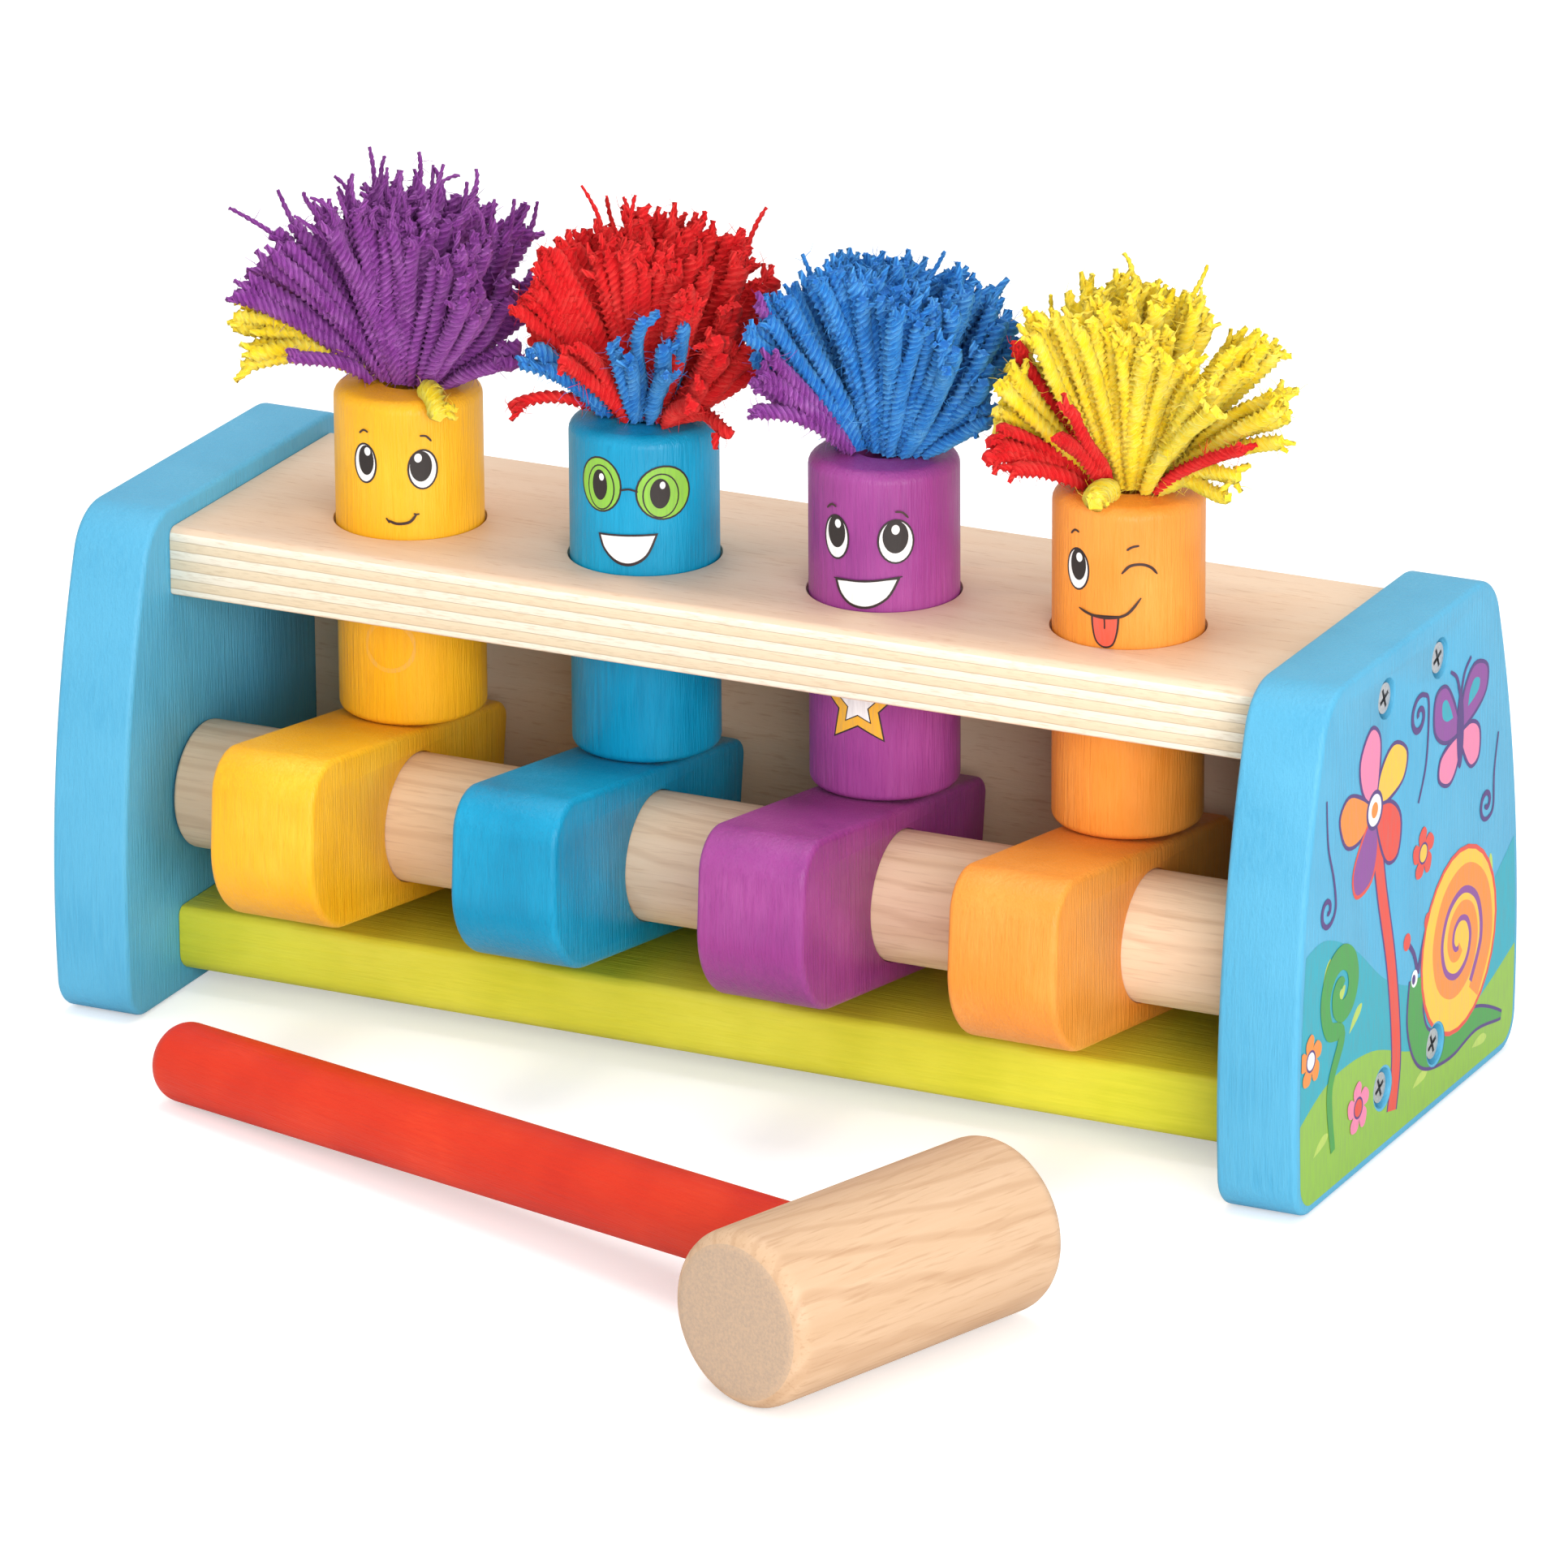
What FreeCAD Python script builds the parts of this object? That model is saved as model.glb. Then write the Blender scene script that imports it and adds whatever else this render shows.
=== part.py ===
import FreeCAD
import Part
import math
import os
import Sketcher

# Hammer bench toy: a bench of two end plates, a top board and a base board. Four round
# pegs with yarn hair ride in the top board's holes. Each stands on the rear arm of a
# rocker that turns on one long dowel. A blow on a rocker's nose lifts its peg.
# Millimetres. X runs along the bench, Y to its back, Z up. The origin lies on the floor, at
# the middle of the rectangle that the bench and the hammer in front of it cover.

dimensions = {
    # end plates
    "bench_length": 290, "bench_back": 69.6, "plate_thick": 18, "plate_height": 110,
    "plate_half_base": 58, "plate_half_top": 43.5, "plate_bow": 245,
    "plate_corner_top": 12, "plate_corner_base": 8, "plate_bevel": 1,
    # boards between the plates
    "board_depth": 73, "board_thick": 15, "top_board_top": 105.7, "base_board_foot": 4.7,
    "board_front_round": 2, "board_edge_round": 0.8, "base_nose_round": 4.5,
    "rear_board_thick": 9,
    # pegs and their holes
    "peg_pitch": 56, "peg_row_y": -7.7, "peg_radius": 15.9, "hole_radius": 16.4,
    "peg_foot": 63.4, "peg_length": 72.4, "peg_bevel": 2,
    # dowel that carries the rockers
    "axle_radius": 14, "axle_y": -24.2, "axle_height": 44.3, "axle_play": 0.3,
    "axle_chamfer": 1, "tenon_radius": 8, "tenon_length": 10,
    # rockers
    "rocker_width": 24.6, "rocker_pitch": 57.2, "rocker_shift": -1.5,
    "rocker_half_height": 19, "rocker_nose_top": 49, "rocker_nose_low": 46.5,
    "rocker_tail": 41.5, "nose_top_round": 9, "nose_low_round": 18, "tail_round": 4,
    "rocker_bevel": 1, "rocker_bore": 14.1, "rest_tilt": 8.5,
    # wood screws
    "screw_half_gap": 14, "top_screw_z": 100.3, "base_screw_z": 14.8, "screw_length": 38,
    "screw_radius": 1.75, "screw_head_radius": 3.8, "screw_head_height": 2.4,
    "counterbore_radius": 4.3, "counterbore_depth": 4,
    # yarn hair
    "hair_root_radius": 7.5, "hair_side_limit": 29, "hair_length": 42, "hair_locks": 12,
    "hair_lock_depth": 0.14, "hair_side_lean": 12, "hair_front_lean": 66, "hair_back_lean": 56,
    # hammer, lying in front of the bench
    "head_radius": 18.4, "head_length": 76, "head_bevel": 2.8, "handle_radius": 8.6,
    "handle_reach": 206, "handle_bevel": 4, "socket_depth": 27,
    "hammer_x": 95.9, "hammer_y": -157.4, "hammer_yaw": 71,
}

doc = FreeCAD.newDocument("HammerBench")
sheet = doc.addObject("Spreadsheet::Sheet", "Dims")
for row, (alias, value) in enumerate(dimensions.items(), start=1):
    sheet.set(f"A{row}", alias)
    sheet.set(f"B{row}", str(value))
    sheet.setAlias(f"B{row}", alias)
doc.recompute()

nodes = []


def cell(expression):
    """Puts the sheet's name before each of its aliases."""
    words = expression.replace("(", " ( ").replace(")", " ) ").split()
    return " ".join(f"Dims.{word}" if word in dimensions else word for word in words)


def valueOf(expression):
    return float(sheet.evalExpression(cell(expression)))


def newBody(label, x="0", y="0", z="0"):
    body = doc.addObject("PartDesign::Body", label)
    body.Label = label
    for axis, place in zip("xyz", (x, f"bench_back + {y}", z)):
        body.setExpression(f"Placement.Base.{axis}", cell(place))
    nodes.append(body)
    return body


def newSketch(body, name, plane, offset=None):
    sketch = body.newObject("Sketcher::SketchObject", name)
    support = next(f for f in body.Origin.OriginFeatures if f.Role == plane)
    sketch.AttachmentSupport = [(support, "")]
    sketch.MapMode = "FlatFace"
    if offset:
        sketch.setExpression("AttachmentOffset.Base.z", cell(offset))
    return sketch


def bindConstraint(sketch, kind, *references, expression):
    index = sketch.addConstraint(Sketcher.Constraint(kind, *references, valueOf(expression)))
    sketch.setExpression(f"Constraints[{index}]", cell(expression))


def bindPoint(sketch, geometry, point, across, up):
    """Ties a point to the sketch's origin by its two distances."""
    for kind, axis, expression in (("DistanceX", -2, across), ("DistanceY", -1, up)):
        if expression == "0":
            sketch.addConstraint(Sketcher.Constraint("PointOnObject", geometry, point, axis))
        else:
            bindConstraint(sketch, kind, -1, 1, geometry, point, expression=expression)


def drawOutline(sketch, corners, bows=None):
    """Closes a loop through the corners; a side named in bows is an arc of that radius."""
    bows = bows or {}
    points = [FreeCAD.Vector(valueOf(x), valueOf(y), 0) for x, y in corners]
    first = sketch.GeometryCount
    for side, start in enumerate(points):
        end = points[(side + 1) % len(points)]
        if side in bows:
            radius = valueOf(bows[side])
            chord = end - start
            outward = FreeCAD.Vector(chord.y, -chord.x, 0).normalize()
            rise = radius - math.sqrt(radius ** 2 - chord.Length ** 2 / 4)
            middle = (start + end) / 2 + outward * rise
            sketch.addGeometry(Part.Arc(start, middle, end), False)
        else:
            sketch.addGeometry(Part.LineSegment(start, end), False)
    for side, (x, y) in enumerate(corners):
        geometry = first + side
        following = first + (side + 1) % len(corners)
        sketch.addConstraint(Sketcher.Constraint("Coincident", geometry, 2, following, 1))
        bindPoint(sketch, geometry, 1, x, y)
        if side in bows:
            bindConstraint(sketch, "Radius", geometry, expression=bows[side])


def drawCircle(sketch, radius, x="0", y="0"):
    centre = FreeCAD.Vector(valueOf(x), valueOf(y), 0)
    circle = Part.Circle(centre, FreeCAD.Vector(0, 0, 1), valueOf(radius))
    index = sketch.addGeometry(circle, False)
    bindPoint(sketch, index, 3, x, y)
    bindConstraint(sketch, "Radius", index, expression=radius)


def addPad(body, sketch, length, reverse=False, midplane=False):
    pad = body.newObject("PartDesign::Pad", "Pad")
    pad.Profile = sketch
    pad.setExpression("Length", cell(length))
    pad.Reversed = reverse
    pad.Midplane = midplane
    doc.recompute()
    return pad


def addPocket(body, sketch, depth=None, reverse=False):
    """Cuts to the depth, or right through, and makes sure that material went."""
    before = body.Shape.Volume
    pocket = body.newObject("PartDesign::Pocket", "Pocket")
    pocket.Profile = sketch
    pocket.Reversed = reverse
    if depth:
        pocket.setExpression("Length", cell(depth))
    else:
        pocket.Type = "ThroughAll"
    doc.recompute()
    if body.Shape.Volume > before - 0.1:
        raise RuntimeError(f"{body.Label}: {sketch.Name} cuts nothing")
    return pocket


def dressEdges(body, kind, size, wanted):
    """Fillets or chamfers the edges of the body's last feature that the test picks."""
    feature = body.Tip
    names = [f"Edge{i}" for i, edge in enumerate(feature.Shape.Edges, start=1) if wanted(edge)]
    if not names:
        raise RuntimeError(f"{body.Label}: no edge for the {size} {kind}")
    dressing = body.newObject(f"PartDesign::{kind}", kind)
    dressing.Base = (feature, names)
    dressing.setExpression("Radius" if kind == "Fillet" else "Size", cell(size))
    doc.recompute()
    return dressing


def turnPiece(body, name, plane, axis, outline):
    """Revolves a half outline about one of the sketch's own axes."""
    sketch = newSketch(body, name, plane)
    drawOutline(sketch, outline)
    turned = body.newObject("PartDesign::Revolution", "Turned")
    turned.Profile = sketch
    turned.ReferenceAxis = (sketch, [axis])
    turned.Angle = 360
    doc.recompute()
    return sketch


def runsAlong(edge, axis):
    """True for a straight edge parallel to the axis."""
    if not isinstance(edge.Curve, Part.Line):
        return False
    return abs(abs(edge.Curve.Direction.dot(axis)) - 1) < 1e-6


def centreOf(edge):
    return edge.BoundBox.Center


alongX = FreeCAD.Vector(1, 0, 0)
insideHalf = "( bench_length / 2 - plate_thick )"


def makePlate(label, side):
    """End plate with bowed sides: side is 1 at the right of the bench, -1 at the left."""
    body = newBody(label, x=f"{side} * {insideHalf}")
    outline = newSketch(body, "PlateOutline", "YZ_Plane")
    drawOutline(outline, [("-1 * plate_half_base", "0"), ("plate_half_base", "0"),
                          ("plate_half_top", "plate_height"),
                          ("-1 * plate_half_top", "plate_height")],
                bows={1: "plate_bow", 3: "plate_bow"})
    addPad(body, outline, "plate_thick", reverse=side < 0)
    middle = valueOf("plate_height / 2")
    dressEdges(body, "Fillet", "plate_corner_top",
              lambda e: runsAlong(e, alongX) and centreOf(e).z > middle)
    dressEdges(body, "Fillet", "plate_corner_base",
              lambda e: runsAlong(e, alongX) and centreOf(e).z < middle)
    dressEdges(body, "Chamfer", "plate_bevel", lambda e: e.BoundBox.XLength < 0.01)

    tenonHole = newSketch(body, "TenonHole", "YZ_Plane")
    drawCircle(tenonHole, "tenon_radius + 0.05", "axle_y", "axle_height")
    addPocket(body, tenonHole, "tenon_length + 0.5", reverse=side > 0)

    seats = newSketch(body, "ScrewSeats", "YZ_Plane", offset=f"{side} * plate_thick")
    for height in ("top_screw_z", "base_screw_z"):
        for across in ("screw_half_gap", "-1 * screw_half_gap"):
            drawCircle(seats, "counterbore_radius", across, height)
    doc.recompute()
    before = body.Shape.Volume
    hole = body.newObject("PartDesign::Hole", "Counterbores")
    hole.Profile = seats
    hole.DepthType = "Dimension"
    hole.DrillPoint = "Flat"
    hole.Reversed = side < 0
    hole.setExpression("Diameter", cell("2 * counterbore_radius"))
    hole.setExpression("Depth", cell("counterbore_depth"))
    doc.recompute()
    if body.Shape.Volume > before - 100:
        raise RuntimeError(f"{label}: the counterbores cut nothing")
    return body


def makeBoard(label, foot):
    """Board of the bench's inside length, lying flat between the end plates."""
    body = newBody(label, z=foot)
    outline = newSketch(body, "BoardOutline", "XY_Plane")
    drawOutline(outline, [(f"-1 * {insideHalf}", "-1 * board_depth / 2"),
                          (insideHalf, "-1 * board_depth / 2"),
                          (insideHalf, "board_depth / 2"),
                          (f"-1 * {insideHalf}", "board_depth / 2")])
    addPad(body, outline, "board_thick")
    return body


def longEdge(body, front, top):
    """Test for one long edge of a board: at its front or back, at its top or bottom."""
    box = body.Shape.BoundBox
    centre = body.Placement.Base

    def test(edge):
        place = centreOf(edge)
        atFront = place.y < box.Center.y - centre.y
        atTop = place.z > box.Center.z - centre.z
        return runsAlong(edge, alongX) and atFront == front and atTop == top
    return test


def makeTopBoard():
    body = makeBoard("top_board", "top_board_top - board_thick")
    dressEdges(body, "Fillet", "board_front_round", longEdge(body, front=True, top=True))
    dressEdges(body, "Fillet", "board_edge_round", longEdge(body, front=False, top=True))
    hole = newSketch(body, "PegHole", "XY_Plane", offset="board_thick")
    drawCircle(hole, "hole_radius", "-1.5 * peg_pitch", "peg_row_y")
    pocket = addPocket(body, hole)
    row = body.newObject("PartDesign::LinearPattern", "PegHoles")
    row.Originals = [pocket]
    row.Direction = (hole, ["H_Axis"])
    row.setExpression("Length", cell("3 * peg_pitch"))
    row.Occurrences = 4
    body.Tip = row
    doc.recompute()
    return body


def makeBaseBoard():
    body = makeBoard("base_board", "base_board_foot")
    dressEdges(body, "Fillet", "board_front_round", longEdge(body, front=True, top=True))
    dressEdges(body, "Fillet", "base_nose_round", longEdge(body, front=True, top=False))
    dressEdges(body, "Fillet", "board_edge_round", longEdge(body, front=False, top=True))
    return body


def makeRearBoard():
    """Thin board that closes the back, standing between base and top board."""
    body = newBody("rear_board", z="base_board_foot + board_thick")
    outline = newSketch(body, "RearOutline", "XY_Plane")
    drawOutline(outline, [(f"-1 * {insideHalf}", "board_depth / 2 - rear_board_thick"),
                          (insideHalf, "board_depth / 2 - rear_board_thick"),
                          (insideHalf, "board_depth / 2"),
                          (f"-1 * {insideHalf}", "board_depth / 2")])
    addPad(body, outline, "top_board_top - base_board_foot - 2 * board_thick")
    return body


def makeAxle():
    """Dowel with a chamfered shoulder and a thinner tenon at each end."""
    body = newBody("axle_dowel", y="axle_y", z="axle_height")
    half = f"( {insideHalf} - axle_play )"
    steps = [(f"{half} + tenon_length", "0"), (f"{half} + tenon_length", "tenon_radius"),
             (half, "tenon_radius"), (half, "axle_radius - axle_chamfer"),
             (f"{half} - axle_chamfer", "axle_radius")]
    left = [(f"-1 * ( {along} )", radius) for along, radius in steps]
    turnPiece(body, "DowelProfile", "XY_Plane", "H_Axis", left + list(reversed(steps)))
    return body


def makeRocker(label, index):
    """Lever with a full round nose in front and its bore near the middle of its length."""
    place = f"( {index} - 1.5 ) * rocker_pitch + rocker_shift"
    body = newBody(label, x=place, y="axle_y", z="axle_height")
    body.Placement.Rotation = FreeCAD.Rotation(FreeCAD.Vector(-1, 0, 0), valueOf("rest_tilt"))
    body.setExpression("Placement.Rotation.Angle", cell("rest_tilt * 1 deg"))
    profile = newSketch(body, "RockerProfile", "YZ_Plane")
    drawOutline(profile, [("-1 * rocker_nose_low", "-1 * rocker_half_height"),
                          ("rocker_tail", "-1 * rocker_half_height"),
                          ("rocker_tail", "rocker_half_height"),
                          ("-1 * rocker_nose_top", "rocker_half_height")])
    drawCircle(profile, "rocker_bore")
    addPad(body, profile, "rocker_width", midplane=True)
    dressEdges(body, "Fillet", "nose_low_round", lambda e: runsAlong(e, alongX)
              and centreOf(e).y < -30 and centreOf(e).z < 0)
    dressEdges(body, "Fillet", "nose_top_round", lambda e: runsAlong(e, alongX)
              and centreOf(e).y < -30 and centreOf(e).z > 18)
    dressEdges(body, "Fillet", "tail_round", lambda e: runsAlong(e, alongX) and centreOf(e).y > 30)
    bore = valueOf("rocker_bore") + 0.5
    dressEdges(body, "Chamfer", "rocker_bevel", lambda e: e.BoundBox.XLength < 0.01
              and math.hypot(centreOf(e).y, centreOf(e).z) + e.BoundBox.YLength / 2 > bore)
    return body


def makePeg(label, index):
    """Turned peg with a bevelled head, flat on top where the yarn is glued."""
    place = f"( {index} - 1.5 ) * peg_pitch"
    body = newBody(label, x=place, y="peg_row_y", z="peg_foot")
    turnPiece(body, "PegProfile", "XZ_Plane", "V_Axis",
              [("0", "0"), ("peg_radius", "0"), ("peg_radius", "peg_length - peg_bevel"),
               ("peg_radius - peg_bevel", "peg_length"), ("0", "peg_length")])
    return body


def facetSolid(rings):
    """Solid of flat triangles over a stack of rings that have equally many corners."""
    corners = len(rings[0])
    triangles = []
    for i in range(corners):
        j = (i + 1) % corners
        for lower, upper in zip(rings, rings[1:]):
            if i % 2:
                triangles += [(lower[i], lower[j], upper[i]), (lower[j], upper[j], upper[i])]
            else:
                triangles += [(lower[i], lower[j], upper[j]), (lower[i], upper[j], upper[i])]
    foot = Part.Face(Part.makePolygon(list(reversed(rings[0])) + [rings[0][-1]]))
    crown = sum(rings[-1], FreeCAD.Vector()) / corners
    triangles += [(rings[-1][i], rings[-1][(i + 1) % corners], crown) for i in range(corners)]
    faces = [Part.Face(Part.makePolygon([a, b, c, a])) for a, b, c in triangles]
    return Part.Solid(Part.Shell(faces + [foot]))


def makeHair(label, index):
    """Yarn tuft: locks of one length fan out of their root, steeper to the front and back."""
    length = valueOf("hair_length")
    limit = valueOf("hair_side_limit")
    valley = 1 - valueOf("hair_lock_depth")
    sideLean = valueOf("hair_side_lean")
    corners = 2 * int(valueOf("hair_locks"))
    turns = [math.radians(20 * index) + 2 * math.pi * i / corners for i in range(corners)]

    def tip(turn, share, reach):
        """End of a lock; share goes from the lowest lock, 0, to the one that stands up, 1."""
        steepest = valueOf("hair_front_lean" if math.sin(turn) < 0 else "hair_back_lean")
        lowest = sideLean + (steepest - sideLean) * abs(math.sin(turn)) ** 1.3
        lean = math.radians(lowest + (90 - lowest) * share)
        x = reach * math.cos(lean) * math.cos(turn)
        pressed = (index > 0) if x < 0 else (index < 3)
        if pressed:
            x = math.copysign(limit * math.tanh(1.2 * abs(x) / limit), x)
        return FreeCAD.Vector(x, reach * math.cos(lean) * math.sin(turn), reach * math.sin(lean))

    def ring(share, ridges):
        return [tip(turn, share, length * (1 if i % 2 == ridges else valley))
                for i, turn in enumerate(turns)]

    radius = valueOf("hair_root_radius")
    neck = [FreeCAD.Vector(radius * math.cos(turn), radius * math.sin(turn), 0) for turn in turns]
    hair = doc.addObject("Part::Feature", label)
    hair.Label = label
    hair.Shape = facetSolid([neck, ring(0, 0), ring(0.3, 0), ring(0.6, 1), ring(0.84, 1)])
    hair.Placement.Base = FreeCAD.Vector(valueOf(f"( {index} - 1.5 ) * peg_pitch"),
                                         valueOf("bench_back + peg_row_y"),
                                         valueOf("peg_foot + peg_length"))
    nodes.append(hair)
    return hair


def makeScrews(label, height):
    """Four wood screws, two through each end plate, heads sunk in their counterbores."""
    body = newBody(label, z=height)
    seat = "( bench_length / 2 - counterbore_depth )"
    for name, sides, radius in (("ScrewHead", 12, "screw_head_radius"),
                                ("ScrewShank", 6, "screw_radius")):
        outline = newSketch(body, name, "YZ_Plane", offset=seat)
        turns = [2 * math.pi * i / sides for i in range(sides)]
        drawOutline(outline, [(f"screw_half_gap + {math.cos(turn):.4f} * {radius}",
                               f"{math.sin(turn):.4f} * {radius}") for turn in turns])
        if name == "ScrewHead":
            addPad(body, outline, "screw_head_height")
        else:
            addPad(body, outline, "screw_length", reverse=True)
    for name, plane in (("BothRows", "XZ_Plane"), ("BothEnds", "YZ_Plane")):
        mirror = body.newObject("PartDesign::Mirrored", name)
        mirror.MirrorPlane = (next(f for f in body.Origin.OriginFeatures
                                   if f.Role == plane), [""])
        mirror.TransformMode = "Whole shape"
        body.Tip = mirror
        doc.recompute()
    if len(body.Shape.Solids) != 4:
        raise RuntimeError(f"{label}: {len(body.Shape.Solids)} screws")
    return body


def hammerTurn():
    """Head on its side on the floor, handle sloping down until its end touches too."""
    radius = valueOf("head_radius")
    handle = valueOf("handle_radius")
    rest = valueOf("handle_reach - handle_bevel")
    dip = math.asin(radius / math.hypot(rest, handle)) - math.atan2(handle, rest)
    yaw = FreeCAD.Rotation(FreeCAD.Vector(0, 0, 1), valueOf("hammer_yaw"))
    return yaw.multiply(FreeCAD.Rotation(FreeCAD.Vector(-1, 0, 0), math.degrees(dip)))


def makeHammer():
    """Turned head with its axis along the body's X, turned handle along the body's Y."""
    head = newBody("hammer_head", x="hammer_x", y="hammer_y", z="head_radius")
    turnPiece(head, "HeadProfile", "XY_Plane", "H_Axis",
              [("-1 * head_length / 2", "0"),
               ("-1 * head_length / 2", "head_radius - head_bevel"),
               ("-1 * head_length / 2 + head_bevel", "head_radius"),
               ("head_length / 2 - head_bevel", "head_radius"),
               ("head_length / 2", "head_radius - head_bevel"),
               ("head_length / 2", "0")])
    inner = "( socket_depth - head_radius )"
    socket = newSketch(head, "HandleSocket", "XZ_Plane", offset=inner)
    drawCircle(socket, "handle_radius")
    addPocket(head, socket)

    handle = newBody("hammer_handle", x="hammer_x", y="hammer_y", z="head_radius")
    turnPiece(handle, "HandleProfile", "XY_Plane", "V_Axis",
              [("0", f"-1 * {inner}"), ("handle_radius", f"-1 * {inner}"),
               ("handle_radius", "handle_reach - handle_bevel"),
               ("handle_radius - handle_bevel", "handle_reach"), ("0", "handle_reach")])
    for piece in (head, handle):
        piece.Placement.Rotation = hammerTurn()


makePlate("left_end_plate", -1)
makePlate("right_end_plate", 1)
makeTopBoard()
makeBaseBoard()
makeRearBoard()
makeAxle()
makeScrews("top_board_screws", "top_screw_z")
makeScrews("base_board_screws", "base_screw_z")
for index, colour in enumerate(("yellow", "blue", "purple", "orange")):
    makeRocker(f"rocker_{colour}", index)
    makePeg(f"peg_{colour}", index)
for index, colour in enumerate(("purple", "red", "blue", "yellow")):
    makeHair(f"hair_{colour}", index)
makeHammer()

doc.recompute()
for thing in doc.Objects:
    if {"Invalid", "Error"} & set(thing.State):
        raise RuntimeError(f"{thing.Name} failed: {thing.State}")
for node in nodes:
    if node.Shape.isNull() or not node.Shape.isValid():
        raise RuntimeError(f"{node.Label} has no valid shape")

os.makedirs("parts", exist_ok=True)
for node in nodes:
    node.Shape.exportStep(f"parts/{node.Label}.step")
    box = node.Shape.BoundBox
    print(f"{node.Label}: {len(node.Shape.Solids)} solid, {node.Shape.Volume / 1000:.1f} cm3,"
          f" x {box.XMin:.1f}..{box.XMax:.1f}, y {box.YMin:.1f}..{box.YMax:.1f},"
          f" z {box.ZMin:.1f}..{box.ZMax:.1f}")
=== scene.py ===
import math
import random

import bmesh
import bpy
from mathutils import Matrix, Vector


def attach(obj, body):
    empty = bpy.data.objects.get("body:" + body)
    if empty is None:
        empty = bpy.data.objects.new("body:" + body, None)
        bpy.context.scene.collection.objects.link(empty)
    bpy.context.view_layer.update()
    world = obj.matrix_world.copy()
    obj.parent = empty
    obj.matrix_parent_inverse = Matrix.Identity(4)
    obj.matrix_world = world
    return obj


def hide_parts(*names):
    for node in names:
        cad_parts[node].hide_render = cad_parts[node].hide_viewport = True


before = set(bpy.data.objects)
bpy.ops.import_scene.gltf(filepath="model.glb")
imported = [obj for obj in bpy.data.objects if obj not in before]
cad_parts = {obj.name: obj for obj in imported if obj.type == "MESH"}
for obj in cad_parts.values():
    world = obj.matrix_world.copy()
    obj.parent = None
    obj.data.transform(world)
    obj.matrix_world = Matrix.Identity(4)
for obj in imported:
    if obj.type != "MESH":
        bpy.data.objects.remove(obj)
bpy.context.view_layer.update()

# Hammer bench toy: painted end plates, plywood boards, four pegs with yarn hair, four rockers
# on a beech dowel, and a small mallet lying in front. Sizes here are millimetres, meshes metres.

bench = {"back": 69.6, "half": 145.0, "inside": 127.0}  # middle of the plates' depth, outer and inner end
malletYaw = 71.0  # degrees that the mallet lies turned on the floor
grainSqueeze = {"X": (0.06, 1, 1), "Y": (1, 0.06, 1), "Z": (1, 1, 0.06)}  # stretches along the grain


def linear(hexColour):
    # the hex values are sRGB, the sockets want linear light
    parts = [int(hexColour[i:i + 2], 16) / 255 for i in (1, 3, 5)]
    return tuple(p / 12.92 if p <= 0.04045 else ((p + 0.055) / 1.055) ** 2.4 for p in parts) + (1.0,)


# nodes and meshes

def addNode(tree, kind, sockets=None, out=0, **settings):
    # sockets: a value is set, another node's output or a list of them is linked; gives the output named out
    node = tree.nodes.new(kind)
    for name, value in settings.items():
        setattr(node, name, value)
    for name, value in (sockets or {}).items():
        socket = node.inputs[name]
        if isinstance(value, (bpy.types.NodeSocket, list)):
            for source in (value if isinstance(value, list) else [value]):
                tree.links.new(source, socket)
        else:
            socket.default_value = linear(value) if socket.type == "RGBA" else value
    return node.outputs[out] if node.outputs else None


def newMaterial(name):
    material = bpy.data.materials.new(name)
    material.use_nodes = True
    material.node_tree.nodes.clear()
    return material, material.node_tree, addNode(material.node_tree, "ShaderNodeTexCoord", out="Object")


def layTint(tree, tone, mask, low, high, strength, tint):
    # the tint comes over the tone as the mask goes from low to high
    share = addNode(tree, "ShaderNodeMapRange", {"Value": mask, "From Min": low, "From Max": high,
                                                "To Max": strength})
    return addNode(tree, "ShaderNodeMix", {0: share, 6: tone, 7: tint}, 2, data_type="RGBA")


def finishSurface(tree, height, strength, depth, sockets):
    # height with its bump's strength and depth in metres; the rest are sockets of the surface shader
    bump = addNode(tree, "ShaderNodeBump", {"Height": height, "Strength": strength, "Distance": depth})
    surface = addNode(tree, "ShaderNodeBsdfPrincipled", {**sockets, "Normal": bump})
    addNode(tree, "ShaderNodeOutputMaterial", {"Surface": surface})


def makeMesh(name, points, faces, material, smooth=40):
    # points in millimetres; faces that meet at less than the smooth angle shade as one
    mesh = bpy.data.meshes.new(name)
    mesh.from_pydata([Vector(p) / 1000 for p in points], [], faces)
    for one in (material if isinstance(material, list) else [material]):
        mesh.materials.append(one)
    form = bmesh.new()
    form.from_mesh(mesh)
    bmesh.ops.remove_doubles(form, verts=form.verts, dist=1e-7)
    bmesh.ops.recalc_face_normals(form, faces=form.faces)
    form.to_mesh(mesh)
    form.free()
    piece = bpy.data.objects.new(name, mesh)
    bpy.context.scene.collection.objects.link(piece)
    shadeByAngle(piece, smooth)
    return piece


def shadeByAngle(piece, angle):
    for face in piece.data.polygons:
        face.use_smooth = True
    piece.data.set_sharp_from_angle(angle=math.radians(angle))


def keepShape(piece):
    # what the modifiers give becomes the piece's own plain mesh
    bpy.context.view_layer.update()
    graph = bpy.context.evaluated_depsgraph_get()
    shaped = bpy.data.meshes.new_from_object(piece.evaluated_get(graph))
    piece.modifiers.clear()
    piece.data = shaped
    shaped.name = piece.name
    return piece


def arcPoints(centre, radius, start, end, steps):
    # points of an arc with their outward directions, angles in degrees
    points = []
    for i in range(steps + 1):
        angle = math.radians(start + (end - start) * i / steps)
        way = Vector((math.cos(angle), math.sin(angle)))
        points.append((Vector(centre) + radius * way, way))
    return points


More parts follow.
